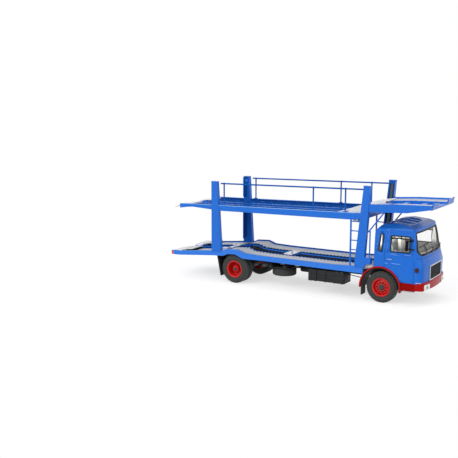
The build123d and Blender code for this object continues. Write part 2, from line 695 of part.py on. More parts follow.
# ------------------------------------------------------------------ railings, ladders and struts
rail_rod = 0.5
rail_knob = 0.75               # balls where the stanchions meet the rail
rail_drop_rear = 1.7           # the rail's ends lie this far under the posts' tops
rail_drop_front = 2.2
rail_free_end = 3.1            # from the rear post forward to the rail's free end
rail_overhang = 3.1            # from there to the first stanchion
stanchion_foot = (2.6, 1.6, 0.7)
# stanchions, from the rear axle
stanchion_xs = (rear_brow + rail_free_end + rail_overhang, wheelbase - 58.8, wheelbase - 31.0)
rail_line = [(rear_brow + rail_free_end, rear_post_top - rail_drop_rear),
             (wheelbase + front_head, post_top - rail_drop_front)]
with BuildPart() as railings:
    run = rail_line[1][0] - rail_line[0][0]
    climb = rail_line[1][1] - rail_line[0][1]
    start = (rear_axle_x + rail_line[0][0], -rail_y, rail_line[0][1])
    with BuildSketch(Plane(origin=start, x_dir=(0, 1, 0), z_dir=(run, 0, climb))):
        Circle(rail_rod)
    extrude(amount=hypot(run, climb) + rail_rod)
    for x in stanchion_xs:
        base = height_on(upper_top, x)
        with BuildSketch(Plane((rear_axle_x + x, -rail_y, base))):
            Circle(rail_rod)
        extrude(amount=height_on(rail_line, x) - base)
        with BuildSketch(Plane((rear_axle_x + x, -rail_y, base))):
            Rectangle(stanchion_foot[0], stanchion_foot[1])
        extrude(amount=stanchion_foot[2])
        with Locations((rear_axle_x + x, -rail_y, height_on(rail_line, x))):
            Sphere(rail_knob)
    mirror(about=Plane.XZ)
    add(front_post_forms.part, mode=Mode.SUBTRACT)
    add(upper_deck_frame.part, mode=Mode.SUBTRACT)
finish(railings, "railings")

ladder_x = -25.9
ladder_rail = 1.1
ladder_seat = 1.0              # the rail ends this far inside both decks
rung_pitch = 7.5
rung_drop = 2.0                # of the top rung under the deck
rung_radius = 0.45
with BuildPart() as ladders:
    foot = front_foot(ladder_x)
    head = height_on(upper_bottom, wheelbase + ladder_x)
    with Locations((front_axle_x + ladder_x, -rail_y, (foot + head) / 2)):
        Box(ladder_rail, ladder_rail, head - foot + 2 * ladder_seat)
    rung_count = int((head - foot - rung_drop) / rung_pitch)
    for i in range(rung_count):
        z = head - rung_drop - i * rung_pitch
        rung_plane = Plane(origin=(front_axle_x + ladder_x, -rail_y, z), x_dir=(0, 1, 0), z_dir=(1, 0, 0))
        with BuildSketch(rung_plane):
            Circle(rung_radius)
        extrude(amount=front_head - ladder_x)
    mirror(about=Plane.XZ)
    add(front_post_forms.part, mode=Mode.SUBTRACT)
    add(upper_deck_frame.part, mode=Mode.SUBTRACT)
    add(lower_deck_frame.part, mode=Mode.SUBTRACT)
finish(ladders, "ladders")

strut_radius = 0.55
strut_low = (-11.2, 55.2)
strut_high = (2.0, 72.2)
rod_x = -9.8
rod_top = 56.0
with BuildPart() as deck_struts:
    run = strut_high[0] - strut_low[0]
    climb = strut_high[1] - strut_low[1]
    start = (front_axle_x + strut_low[0], -rail_y, strut_low[1])
    with BuildSketch(Plane(origin=start, x_dir=(0, 1, 0), z_dir=(run, 0, climb))):
        Circle(strut_radius)
    extrude(amount=hypot(run, climb))
    with BuildSketch(Plane((front_axle_x + rod_x, -rail_y, bracket_high))):
        Circle(strut_radius)
    extrude(amount=rod_top - bracket_high)
    mirror(about=Plane.XZ)
    add(front_post_forms.part, mode=Mode.SUBTRACT)
    add(cab_deck_frame.part, mode=Mode.SUBTRACT)
finish(deck_struts, "deck_struts")

# ------------------------------------------------------------------ cab
cab_waist = 42.0
cab_lean_from = 31.0
cab_lean = (-8.6, 28.3)        # forward, up: the way the cab's front leans back
cab_head_half_width = cab_half_width - 1.6
cab_head_z = 59.5
roof_half_width = cab_half_width - 5.0
roof_crown = 0.8
roof_fall = 1.4                # of the roof's edge behind and in front of its crown
brow_z = 53.7
front_bulge = 1.2
front_corner = 5.0
roof_corner = 4.0
form_margin = 9.0              # the forms below are drawn this far past the cab and cut back
# Side outline of the cab from the front axle, its front cut off by the leaning plan: x, z
cab_side = [(cab_rear, 0.0), (cab_front + form_margin, 0.0), (cab_front + form_margin, brow_z - 1.0),
            (20.5, cab_roof - roof_fall), (8.0, cab_roof), (-1.0, cab_roof - roof_fall), (cab_rear, 56.5)]
# Front outline: y, z
cab_face = [(-cab_half_width, 0.0), (cab_half_width, 0.0), (cab_half_width, cab_waist),
            (cab_head_half_width, cab_head_z), (roof_half_width, cab_roof + roof_crown),
            (-roof_half_width, cab_roof + roof_crown), (-cab_head_half_width, cab_head_z),
            (-cab_half_width, cab_waist)]


def cab_plan(inset):
    """Plan of the cab with its front corners rounded, open towards the rear."""
    half = cab_half_width - inset
    front = cab_front - inset
    with BuildSketch(mode=Mode.PRIVATE) as plan:
        with BuildLine():
            Polyline((front - front_bulge, half), (cab_rear - form_margin, half),
                     (cab_rear - form_margin, -half), (front - front_bulge, -half))
            ThreePointArc((front - front_bulge, -half), (front, 0), (front - front_bulge, half))
        make_face()
        fillet(plan.vertices().group_by(Axis.X)[-1], front_corner - inset)
    return plan.sketch


def cab_form(inset, bottom):
    """Closed form of the cab, inset by so much all round and cut off flat at bottom."""
    plan = cab_plan(inset)
    with BuildPart() as form:
        with BuildSketch(Plane((front_axle_x, 0, bottom))):
            add(plan)
        extrude(amount=cab_lean_from - bottom)
        with BuildSketch(Plane((front_axle_x, 0, cab_lean_from))):
            add(plan)
        extrude(amount=cab_roof - cab_lean_from + form_margin, dir=(cab_lean[0], 0, cab_lean[1]))
        with BuildSketch(from_front()) as side:
            Polygon(cab_side)
            fillet(side.vertices().filter_by(lambda v: v.X < cab_front and v.Y > cab_waist), roof_corner)
            if inset:
                offset(amount=-inset, kind=Kind.INTERSECTION)
        extrude(amount=cab_half_width + form_margin, both=True, mode=Mode.INTERSECT)
        with BuildSketch(front_view(cab_rear - form_margin)) as front:
            Polygon(cab_face)
            fillet(front.vertices().filter_by(lambda v: v.Y > cab_waist), roof_corner)
            if inset:
                offset(amount=-inset, kind=Kind.INTERSECTION)
        extrude(amount=cab_front - cab_rear + 2 * form_margin, mode=Mode.INTERSECT)
    return form.part


# Windows: the screen and the rear one by y, z; the side ones by x from the front axle, z
screen_top = 57.3
screen_bottom = 39.7
screen_half_top = cab_half_width - 3.1
screen_half_bottom = cab_half_width - 3.4
screen_corner = 4.8            # of its lower corners
screen_reach = 18.0            # prisms through the screen start this far behind the cab's front
side_window = (6.8, 41.5, 23.5, 54.3)          # x0, z0, x1, z1
vent_bar_z = 52.4
vent_bar = 0.6
quarter_window = [(-2.9, 41.0), (0.4, 41.0), (1.5, 55.0), (-1.4, 55.0)]
rear_window = (15.0, 44.5, 54.5)               # half width, z0, z1
window_corner = 1.2


def window_prisms(frame):
    """Prisms through every window of the cab, each frame mm inside its opening."""
    with BuildPart() as prisms:
        with BuildSketch(front_view(cab_front - screen_reach)) as screen:
            Polygon([(-screen_half_bottom, screen_bottom), (screen_half_bottom, screen_bottom),
                     (screen_half_top, screen_top), (-screen_half_top, screen_top)])
            fillet(screen.vertices().group_by(Axis.Y)[0], screen_corner)
            fillet(screen.vertices().group_by(Axis.Y)[-1], window_corner)
            if frame:
                offset(amount=-frame, kind=Kind.INTERSECTION)
        extrude(amount=screen_reach + form_margin)
        with BuildSketch(front_view(cab_rear + cab_wall + form_margin / 2)):
            half, z0, z1 = rear_window
            with Locations((0, (z0 + z1) / 2)):
                RectangleRounded(2 * (half - frame), z1 - z0 - 2 * frame, window_corner)
        extrude(amount=-2 * form_margin)
        with BuildSketch(from_front()):
            x0, z0, x1, z1 = side_window
            with Locations(((x0 + x1) / 2, (z0 + z1) / 2)):
                RectangleRounded(x1 - x0 - 2 * frame, z1 - z0 - 2 * frame, window_corner)
            if frame:
                with Locations(((x0 + x1) / 2, vent_bar_z)):
                    Rectangle(x1 - x0, vent_bar, mode=Mode.SUBTRACT)
                with Locations(((x0 + x1) / 2, (vent_bar_z + z1) / 2)):
                    Rectangle(vent_bar, z1 - vent_bar_z, mode=Mode.SUBTRACT)
        extrude(amount=cab_half_width + form_margin, both=True)
        with BuildSketch(from_front()) as quarters:
            Polygon(quarter_window)
            fillet(quarters.vertices(), window_corner)
            if frame:
                offset(amount=-frame, kind=Kind.INTERSECTION)
        extrude(amount=cab_half_width + form_margin, both=True)
    return prisms.part


# Shut lines and pressed panels: side ones by x from the front axle, z; front ones by y, z
press_depth = 0.35
line_width = 0.35
door_outline = [(2.3, cab_bottom), (27.2, cab_bottom), (27.2, 41.0), (24.6, 57.8), (3.8, 57.8), (2.3, 50.0)]
door_panel = [(4.4, 38.8), (25.6, 38.8), (25.6, 42.0), (23.9, 56.6), (5.4, 56.6), (4.4, 50.0)]
quarter_panel = [(-4.6, 39.4), (1.0, 39.4), (2.6, 56.4), (-2.4, 56.4)]
panel_corner = 1.4
flap_half_width = 15.2
flap_top = 37.8
lower_lip_half_width = cab_half_width - 1.5
# The sunken middle of the roof with two ribs left standing: from the front axle
roof_panel = [(-0.5, -14.5), (16.0, -14.5), (19.5, -10.0), (19.5, 10.0), (16.0, 14.5), (-0.5, 14.5)]
roof_sink = 0.7
roof_rib_y = 5.2
roof_rib_width = 1.3

seal_proud = 0.15
glass_inset = 0.35
grille_half_width = 13.8
grille_low = 19.4
grille_high = 31.0
skirt_inner = cab_half_width - cab_wall
under_floor = cab_floor_top - cab_floor_thickness - cab_bottom

outer_form = cab_form(0, cab_bottom)
inner_form = cab_form(cab_wall, cab_bottom - form_margin)
openings = window_prisms(0)
sights = window_prisms(seal_width)

with BuildPart() as pressings:
    with BuildSketch(from_front()) as side_lines:
        Polygon(door_outline)
        offset(amount=-line_width, kind=Kind.INTERSECTION, mode=Mode.SUBTRACT)
    extrude(amount=cab_half_width + form_margin, both=True)
    for outline in (door_panel, quarter_panel):
        with BuildSketch(from_front()) as side_panel:
            Polygon(outline)
            fillet(side_panel.vertices(), panel_corner)
        extrude(amount=cab_half_width + form_margin, both=True)
    with BuildSketch(front_view(cab_front - screen_reach)):
        with Locations((0, (flap_top + cab_bottom) / 2)):
            Rectangle(2 * flap_half_width + line_width, flap_top - cab_bottom)
            Rectangle(2 * flap_half_width - line_width, flap_top - cab_bottom, mode=Mode.SUBTRACT)
        with Locations((0, flap_top)):
            Rectangle(2 * lower_lip_half_width, line_width)
    extrude(amount=screen_reach + form_margin)
    add(cab_form(press_depth, cab_bottom - form_margin), mode=Mode.SUBTRACT)

with BuildPart() as roof_pressing:
    with BuildSketch(Plane((front_axle_x, 0, cab_roof - form_margin))):
        Polygon(roof_panel)
        with Locations((0, -roof_rib_y), (0, roof_rib_y)):
            Rectangle(2 * cab_front, roof_rib_width, mode=Mode.SUBTRACT)
    extrude(amount=2 * form_margin)
    add(cab_form(roof_sink, cab_bottom), mode=Mode.SUBTRACT)

with BuildPart() as cab_shell:
    add(outer_form)
    add(inner_form, mode=Mode.SUBTRACT)
    add(openings, mode=Mode.SUBTRACT)
    add(pressings.part, mode=Mode.SUBTRACT)
    add(roof_pressing.part, mode=Mode.SUBTRACT)
    with BuildSketch(from_front()):
        with Locations((arch_x, arch_z)):
            Circle(arch_radius)
    extrude(amount=cab_half_width + form_margin, both=True, mode=Mode.SUBTRACT)
    # the rear wall is open under the floor
    with BuildSketch(front_view(cab_rear - cab_wall)):
        with Locations((0, cab_bottom + under_floor / 2)):
            Rectangle(2 * skirt_inner, under_floor)
    extrude(amount=3 * cab_wall, mode=Mode.SUBTRACT)
    with BuildSketch(front_view(cab_front - form_margin)):
        with Locations((0, (grille_low + grille_high) / 2)):
            Rectangle(2 * grille_half_width, grille_high - grille_low)
    extrude(amount=2 * form_margin, mode=Mode.SUBTRACT)
finish(cab_shell, "cab_shell")

with BuildPart() as window_seals:
    add(cab_form(-seal_proud, cab_bottom))
    add(inner_form, mode=Mode.SUBTRACT)
    add(openings, mode=Mode.INTERSECT)
    add(sights, mode=Mode.SUBTRACT)
finish(window_seals, "window_seals")

with BuildPart() as cab_glazing:
    add(cab_form(glass_inset, cab_bottom))
    add(cab_form(glass_inset + glass_thickness, cab_bottom - form_margin), mode=Mode.SUBTRACT)
    add(sights, mode=Mode.INTERSECT)
finish(cab_glazing, "cab_glazing")

handle_x = 6.5                 # middle of the door handles, from the front axle
handle_z = 35.6
handle_length = 4.8
handle_height = 0.9
handle_proud = 0.5
with BuildPart() as door_handles:
    with BuildSketch(from_front(-cab_half_width)):
        with Locations((handle_x, handle_z)):
            RectangleRounded(handle_length, handle_height, handle_height / 3)
    extrude(amount=handle_proud)
    mirror(about=Plane.XZ)
finish(door_handles, "door_handles")

wiper_z = 38.9                 # of the wipers' spindles
wiper_spindle = 0.7
wiper_arm = 0.45
wiper_blade = (11.5, 0.5)
wiper_lift = 2.6               # blades lie this far up from the spindles
wiper_proud = 0.25             # from the cab's front to the blades
# y of each spindle and of its blade's middle
wiper_rows = [(-19.0, -13.0), (-4.5, 1.5), (10.0, 16.0)]
with BuildPart() as wipers:
    lean_length = hypot(cab_lean[0], cab_lean[1])
    front_at = cab_front + cab_lean[0] * (wiper_z - cab_lean_from) / cab_lean[1]
    screen_plane = Plane(origin=(front_axle_x + front_at, 0, wiper_z), x_dir=(0, 1, 0),
                         z_dir=(cab_lean[1] / lean_length, 0, -cab_lean[0] / lean_length))
    for spindle_y, blade_y in wiper_rows:
        with BuildSketch(screen_plane.offset(-wiper_blade[1])):
            with Locations((spindle_y, 0)):
                Circle(wiper_spindle)
        extrude(amount=wiper_blade[1] + 2 * wiper_proud + wiper_arm)
        with BuildSketch(screen_plane.offset(2 * wiper_proud)):
            Polygon([(spindle_y, -wiper_arm / 2), (spindle_y, wiper_arm / 2),
                     (blade_y, wiper_lift + wiper_arm / 2), (blade_y, wiper_lift - wiper_arm / 2)])
        extrude(amount=wiper_arm)
        with BuildSketch(screen_plane.offset(wiper_proud)):
            with Locations((blade_y, wiper_lift)):
                Rectangle(wiper_blade[0], wiper_blade[1])
        extrude(amount=wiper_blade[1])
    add(outer_form, mode=Mode.SUBTRACT)
    add(window_seals.part, mode=Mode.SUBTRACT)
finish(wipers, "wipers")

leg_xs = (-2.0, 22.0)          # cab mountings on the chassis rails, from the front axle
leg_length = 3.0
tunnel_half_width = 6.0
tunnel_top = 35.0
tunnel_front = 20.0
tunnel_slant = 2.0
with BuildPart() as cab_floor:
    add(inner_form)
    with BuildSketch(Plane((front_axle_x, 0, cab_floor_top - cab_floor_thickness))):
        Rectangle(4 * cab_front, 4 * cab_half_width)
    extrude(amount=cab_floor_thickness, mode=Mode.INTERSECT)
    with BuildSketch(from_front()):
        Polygon([(cab_rear + cab_wall, cab_floor_top), (tunnel_front, cab_floor_top),
                 (tunnel_front - tunnel_slant, tunnel_top), (cab_rear + cab_wall, tunnel_top)])
    extrude(amount=tunnel_half_width, both=True)
    leg_height = cab_floor_top - cab_floor_thickness - rail_top
    for x in leg_xs:
        for side in (-1, 1):
            with Locations((front_axle_x + x, side * (rail_half_width - rail_thickness / 2),
                            rail_top + leg_height / 2)):
                Box(leg_length, rail_thickness, leg_height)
finish(cab_floor, "cab_floor")

seat_width = 10.0
seat_y = 15.0
seat_edge = 0.8
# Side outline of the seats from the front axle: x, z
seat_outline = [(1.0, cab_floor_top), (9.6, cab_floor_top), (9.6, 35.6), (3.2, 35.0), (1.4, 46.0),
                (-0.8, 46.0)]
with BuildPart() as seats:
    with BuildSketch(from_front(-seat_y + seat_width / 2)) as seat:
        Polygon(seat_outline)
        fillet(seat.vertices().group_by(Axis.Y)[-1], seat_edge)
    extrude(amount=seat_width)
    mirror(about=Plane.XZ)
finish(seats, "seats")

# Side outline of the dashboard from the front axle: x, z
dash_outline = [(27.0, cab_floor_top), (cab_front, cab_floor_top), (cab_front, 38.8), (25.4, 38.8),
                (23.8, 37.4), (24.4, 34.4), (26.6, 33.6)]
with BuildPart() as dashboard:
    add(cab_form(cab_wall + seat_gap, cab_bottom))
    with BuildSketch(from_front()):
        Polygon(dash_outline)
    extrude(amount=cab_half_width, both=True, mode=Mode.INTERSECT)
finish(dashboard, "dashboard")

wheel_centre = (19.6, 14.5, 41.2)
steering_radius = 4.2
steering_rim = 0.45
steering_hub = 1.1
steering_spoke = 0.7
column_radius = 0.6
steering_tilt = 32.0           # of the column from the vertical
with BuildPart() as steering_wheel:
    column = Vector(sin(radians(steering_tilt)), 0, -cos(radians(steering_tilt)))
    centre = Vector(front_axle_x + wheel_centre[0], wheel_centre[1], wheel_centre[2])
    plane = Plane(origin=centre, x_dir=(0, 1, 0), z_dir=column)
    with Locations(plane):
        Torus(steering_radius, steering_rim)
    with BuildSketch(plane):
        Circle(steering_hub)
        Rectangle(2 * steering_radius, steering_spoke)
    extrude(amount=steering_spoke / 2, both=True)
    with BuildSketch(plane):
        Circle(column_radius)
    extrude(amount=(wheel_centre[2] - cab_floor_top) / cos(radians(steering_tilt)) - column_radius)
    add(dashboard.part, mode=Mode.SUBTRACT)
finish(steering_wheel, "steering_wheel")

# ------------------------------------------------------------------ cab front
grille_frame_width = 0.7
grille_inset = 0.7             # from the cab's front back to the grille's face
grille_back = 0.4              # frame and mesh start this far behind that face
grille_frame_depth = 1.3
mesh_thickness = 0.5
bar_thickness = 0.6
grille_bars = 8
grille_face = cab_front - grille_inset
clear_half = grille_half_width - grille_frame_width
clear_low = grille_low + grille_frame_width
clear_high = grille_high - grille_frame_width
with BuildPart() as grille_frame:
    with BuildSketch(front_view(grille_face - grille_back)):
        with Locations((0, (grille_low + grille_high) / 2)):
            Rectangle(2 * grille_half_width, grille_high - grille_low)
            Rectangle(2 * clear_half, clear_high - clear_low, mode=Mode.SUBTRACT)
    extrude(amount=grille_frame_depth)
finish(grille_frame, "grille_frame")

with BuildPart() as grille:
    with BuildSketch(front_view(grille_face - grille_back)):
        with Locations((0, (clear_low + clear_high) / 2)):
            Rectangle(2 * clear_half, clear_high - clear_low)
    extrude(amount=mesh_thickness)
    with BuildSketch(front_view(grille_face)):
        step = (clear_high - clear_low) / grille_bars
        for i in range(grille_bars):
            with Locations((0, clear_low + (i + 0.5) * step)):
                Rectangle(2 * clear_half, step / 2)
    extrude(amount=bar_thickness)
finish(grille, "grille")

bumper_front = 38.0
bumper_side_rear = 27.0
bumper_sweep = 7.1             # the ends lie this far behind the middle
bumper_half_width = cab_half_width + 0.3
bumper_corner = 3.0
bumper_wall = 1.6
bumper_return = 10.0           # the bumper's ends are drawn back to here and cut off
lamp_y = 17.0
lamp_size = (6.2, 5.0)
lamp_z = 13.4
lamp_depth = 0.8
lamp_proud = 0.35
lens_radius = 1.7
# Side outline of the brackets from the chassis rails to the bumper, from the front axle: x, z
bumper_bracket = [(rail_front, rail_bottom), (rail_front, rail_bottom + 2.2),
                  (rail_front + 3.0, rail_bottom + 2.2), (rail_front + 5.0, bumper_top - 0.2),
                  (bumper_front - 1.0, bumper_top - 0.2), (bumper_front - 1.0, bumper_top - 3.0),
                  (rail_front + 3.0, bumper_top - 3.0)]
bumper_radius = (bumper_half_width ** 2 + bumper_sweep ** 2) / (2 * bumper_sweep)
lamp_turn = degrees(atan2(lamp_y, bumper_radius))


def lamp_plane(side):
    """Plane on the bumper's face at a headlamp, facing out."""
    turn = radians(side * lamp_turn)
    x = front_axle_x + bumper_front - bumper_radius * (1 - cos(turn))
    return Plane(origin=(x, bumper_radius * sin(turn), lamp_z), x_dir=(-sin(turn), cos(turn), 0),
                 z_dir=(cos(turn), sin(turn), 0))


with BuildPart() as headlamps:
    for side in (-1, 1):
        with BuildSketch(lamp_plane(side).offset(-lamp_depth)):
            Rectangle(lamp_size[0], lamp_size[1])
        extrude(amount=lamp_depth + lamp_proud)
        with BuildSketch(lamp_plane(side).offset(lamp_proud)):
            Circle(lens_radius)
        extrude(amount=lamp_proud)
finish(headlamps, "headlamps")

with BuildPart() as front_bumper:
    with BuildSketch(Plane((front_axle_x, 0, bumper_bottom))) as bumper:
        with BuildLine():
            Polyline((bumper_front - bumper_sweep, bumper_half_width), (bumper_return, bumper_half_width),
                     (bumper_return, -bumper_half_width), (bumper_front - bumper_sweep, -bumper_half_width))
            ThreePointArc((bumper_front - bumper_sweep, -bumper_half_width), (bumper_front, 0),
                          (bumper_front - bumper_sweep, bumper_half_width))
        make_face()
        fillet(bumper.vertices().group_by(Axis.X)[-1], bumper_corner)
        offset(amount=-bumper_wall, mode=Mode.SUBTRACT)
        Rectangle(2 * bumper_side_rear, 4 * bumper_half_width, mode=Mode.SUBTRACT)
    extrude(amount=bumper_top - bumper_bottom)
    for y in (-rail_inner, rail_half_width):
        with BuildSketch(from_front(y)):
            Polygon(bumper_bracket)
        extrude(amount=rail_thickness)
    add(headlamps.part, mode=Mode.SUBTRACT)
finish(front_bumper, "front_bumper")

skirt_front = bumper_side_rear
skirt_rear = 4.0
skirt_low = bumper_bottom + 0.4
skirt_inset = 0.6              # the skirts' faces lie this far inside the cab's sides
with BuildPart() as side_skirts:
    with BuildSketch(from_front(-skirt_inner)):
        Polygon([(skirt_rear, skirt_low), (skirt_front, skirt_low), (skirt_front, cab_bottom),
                 (skirt_rear, cab_bottom)])
        with Locations((arch_x, arch_z)):
            Circle(arch_radius, mode=Mode.SUBTRACT)
    extrude(amount=cab_wall - skirt_inset)
    with BuildSketch(from_front(-skirt_inner + cab_wall)):
        Polygon([(skirt_rear, skirt_low), (skirt_front, skirt_low), (skirt_front, cab_bottom),
                 (skirt_rear, cab_bottom)])
        with Locations((arch_x, arch_z)):
            Circle(arch_radius, mode=Mode.SUBTRACT)
    extrude(amount=cab_wall)
    mirror(about=Plane.XZ)
finish(side_skirts, "side_skirts")

step_length = 8.6
step_width = 3.6
step_thickness = 0.7
step_x = 22.0
step_lap = 0.2                 # the steps' plates reach this far outside the cab
with BuildPart() as cab_steps:
    with BuildSketch(Plane((front_axle_x, 0, skirt_low - step_thickness))):
        with Locations((step_x, -(cab_half_width + step_lap - step_width / 2))):
            Rectangle(step_length, step_width)
    extrude(amount=step_thickness)
    mirror(about=Plane.XZ)
finish(cab_steps, "cab_steps")

tread_length = 5.0
tread_width = 2.2
tread_thickness = 0.3
tread_x = 30.0
with BuildPart() as bumper_steps:
    with BuildSketch(Plane((front_axle_x, 0, bumper_top))):
        with Locations((tread_x, -(bumper_half_width - tread_width / 2 - tread_thickness))):
            Rectangle(tread_length, tread_width)
    extrude(amount=tread_thickness)
    mirror(about=Plane.XZ)
finish(bumper_steps, "bumper_steps")

side_lamp_x = 30.0
side_lamp_z = 29.2
side_lamp_size = (3.2, 3.3, 0.5)               # length, height, corner radius
side_lamp_half = 0.6           # it reaches this far out of the cab's side
with BuildPart() as side_lamps:
    with BuildSketch(from_front(-cab_half_width + side_lamp_half)):
        with Locations((side_lamp_x, side_lamp_z)):
            RectangleRounded(side_lamp_size[0], side_lamp_size[1], side_lamp_size[2])
    extrude(amount=2 * side_lamp_half)
    mirror(about=Plane.XZ)
    add(outer_form, mode=Mode.SUBTRACT)
finish(side_lamps, "side_lamps")

# ------------------------------------------------------------------ wings and flaps
wing_front_foot = 10.0
wing_rear_foot = 11.1
wing_width = 1.9
wing_seat = 1.1                # the trims start this far inside the cab's sides
liner_inner_y = 13.5
liner_inset = 0.4              # the liners end this far inside the cab's sides
# name, outer radius, radial thickness, inner y, width
wing_rows = {
    "arch_trims": (arch_radius, arch_lip, cab_half_width - wing_seat, wing_width),
    "arch_liners": (arch_radius - arch_lip, liner_thickness, liner_inner_y,
                    cab_half_width - liner_inset - liner_inner_y),
}
for name, (radius, thickness, inner_y, width) in wing_rows.items():
    with BuildPart() as wings:
        with BuildSketch(from_front(-inner_y)):
            with Locations((arch_x, arch_z)):
                Circle(radius)
                Circle(radius - thickness, mode=Mode.SUBTRACT)
            Polygon([(-2 * arch_radius, wing_rear_foot), (arch_x, wing_rear_foot), (arch_x, wing_front_foot),
                     (2 * arch_radius, wing_front_foot), (2 * arch_radius, -arch_radius),
                     (-2 * arch_radius, -arch_radius)], mode=Mode.SUBTRACT)
        extrude(amount=width)
        mirror(about=Plane.XZ)
    finish(wings, name)

mudflap_width = 8.0
mudflap_low = 4.8
mudflap_thickness = 0.8
mudflap_x = arch_x - arch_radius + arch_lip + liner_thickness / 2
with BuildPart() as front_mudflaps:
    with Locations((front_axle_x + mudflap_x, -(cab_half_width - liner_inset - mudflap_width / 2),
                    (mudflap_low + wing_rear_foot) / 2)):
        Box(mudflap_thickness, mudflap_width, wing_rear_foot - mudflap_low)
    mirror(about=Plane.XZ)
finish(front_mudflaps, "front_mudflaps")

rear_flap_y0 = 14.0
rear_flap_low = 5.3
rear_flap_lean = 3.8           # its foot lies this far in front of its head
rear_flap_length = 1.0
with BuildPart() as rear_mudflaps:
    # hangs from the deck's brace behind the rear wheels
    brace_behind = max(lower_tail + i * brace_pitch for i in range(lower_brace_count)
                       if lower_tail + i * brace_pitch < -tyre_radius - brace_width)
    flap_head = height_on(lower_top, brace_behind) + brace_top - lower_brace_height
    with BuildSketch(from_rear(-rear_flap_y0)):
        Polygon([(brace_behind, flap_head), (brace_behind + rear_flap_length, flap_head),
                 (brace_behind + rear_flap_lean + rear_flap_length, rear_flap_low),
                 (brace_behind + rear_flap_lean, rear_flap_low)])
    extrude(amount=beam_inner - rear_flap_y0)
    mirror(about=Plane.XZ)
finish(rear_mudflaps, "rear_mudflaps")

# ------------------------------------------------------------------ side equipment
tank_rear = -62.0
tank_front = -30.7
tank_low = 11.2
tank_high = 20.5
tank_inner_y = 14.2
tank_outer_y = deck_half_width - 1.1
tank_rib = 0.5
tank_rear_band = 6.0           # lengths of the thicker ends
tank_front_band = 8.0
tank_bands = ((tank_rear, tank_rear + tank_rear_band), (tank_front - tank_front_band, tank_front))
tank_arm_x = 6.0               # the arms to the chassis, from the ends
tank_arm = (2.4, 2.2)
# name, side
for name, side in (("fuel_tank", -1), ("battery_box", 1)):
    with BuildPart() as box:
        with BuildSketch(from_front(side * tank_inner_y)):
            Polygon([(tank_rear, tank_low), (tank_front, tank_low), (tank_front, tank_high),
                     (tank_rear, tank_high)])
        extrude(amount=-side * (tank_outer_y - tank_rib - tank_inner_y))
        with BuildSketch(from_front(side * tank_inner_y)):
            for x0, x1 in tank_bands:
                Polygon([(x0, tank_low), (x1, tank_low), (x1, tank_high), (x0, tank_high)])
        extrude(amount=-side * (tank_outer_y - tank_inner_y))
        with BuildSketch(from_front(side * rail_half_width)):
            for x in (tank_rear + tank_arm_x, tank_front - tank_arm_x):
                with Locations((x, rail_bottom + tank_arm[1] / 2)):
                    Rectangle(tank_arm[0], tank_arm[1])
        extrude(amount=-side * (tank_inner_y - rail_half_width))
    finish(box, name)

spare_x = -91.5
spare_y = -13.0
spare_radius = 10.2
spare_low = 10.1
spare_thickness = 6.0
spare_edge = 1.2
spare_rim_radius = 6.1
spare_rim_inset = 1.0          # the rim's faces lie this far inside the tyre's
spare_arm = 4.0
spare_arm_y = 3.5              # the arm's middle, from the wheel's
with BuildPart() as spare_wheel:
    with BuildSketch(Plane((front_axle_x + spare_x, spare_y, spare_low))):
        Circle(spare_radius)
        Circle(spare_rim_radius, mode=Mode.SUBTRACT)
    extrude(amount=spare_thickness)
    fillet(spare_wheel.edges().filter_by(GeomType.CIRCLE).group_by(SortBy.RADIUS)[-1], spare_edge)
finish(spare_wheel, "spare_wheel")

with BuildPart() as spare_rim:
    with BuildSketch(Plane((front_axle_x + spare_x, spare_y, spare_low + spare_rim_inset))):
        Circle(spare_rim_radius)
    extrude(amount=spare_thickness - 2 * spare_rim_inset)
    arm_low = spare_low + spare_thickness - spare_rim_inset
    with BuildSketch(Plane((front_axle_x + spare_x, spare_y, arm_low))):
        with Locations((0, spare_arm_y)):
            Rectangle(spare_arm, spare_arm)
    extrude(amount=rail_bottom - arm_low)
finish(spare_rim, "spare_rim")

vessel_radius = 2.6
vessel_length = 14.0
vessel_x = -79.0
vessel_y = -6.0
vessel_edge = 0.8
vessel_hanger = (3.0, 2.4, 1.2)
with BuildPart() as air_vessel:
    start = (front_axle_x + vessel_x, vessel_y, rail_bottom - vessel_radius)
    with BuildSketch(Plane(origin=start, x_dir=(0, 1, 0), z_dir=(1, 0, 0))):
        Circle(vessel_radius)
    extrude(amount=vessel_length)
    fillet(air_vessel.edges().filter_by(GeomType.CIRCLE), vessel_edge)
    with Locations((start[0] + vessel_length / 2, -rail_inner, rail_bottom - vessel_hanger[2] / 2)):
        Box(vessel_hanger[0], vessel_hanger[1], vessel_hanger[2])
finish(air_vessel, "air_vessel")

# ------------------------------------------------------------------ mirrors, rams and coupling
mirror_x = 21.8
mirror_y = cab_half_width + 3.6
mirror_low = 44.0
mirror_high = 52.0
mirror_width = 4.4
mirror_depth = 0.9
mirror_edge = 0.8
pillar_x = 27.2
mirror_arm = 0.4
mirror_arm_inset = 1.1         # the arms' heights, from the mirror's ends
mirror_arm_seat = 0.6          # they start this far inside the cab's side
with BuildPart() as mirrors:
    with Locations((front_axle_x + mirror_x, -mirror_y, (mirror_low + mirror_high) / 2)):
        Box(mirror_depth, mirror_width, mirror_high - mirror_low)
    fillet(mirrors.edges().filter_by(Axis.X), mirror_edge)
    for z in (mirror_low + mirror_arm_inset, mirror_high - mirror_arm_inset):
        start = Vector(front_axle_x + pillar_x, -cab_head_half_width + mirror_arm_seat, z)
        reach = Vector(front_axle_x + mirror_x, -mirror_y + mirror_width / 3, z) - start
        with BuildSketch(Plane(origin=start, x_dir=(0, 0, 1), z_dir=reach)):
            Circle(mirror_arm)
        extrude(amount=reach.length)
    mirror(about=Plane.XZ)
    add(outer_form, mode=Mode.SUBTRACT)
finish(mirrors, "mirrors")

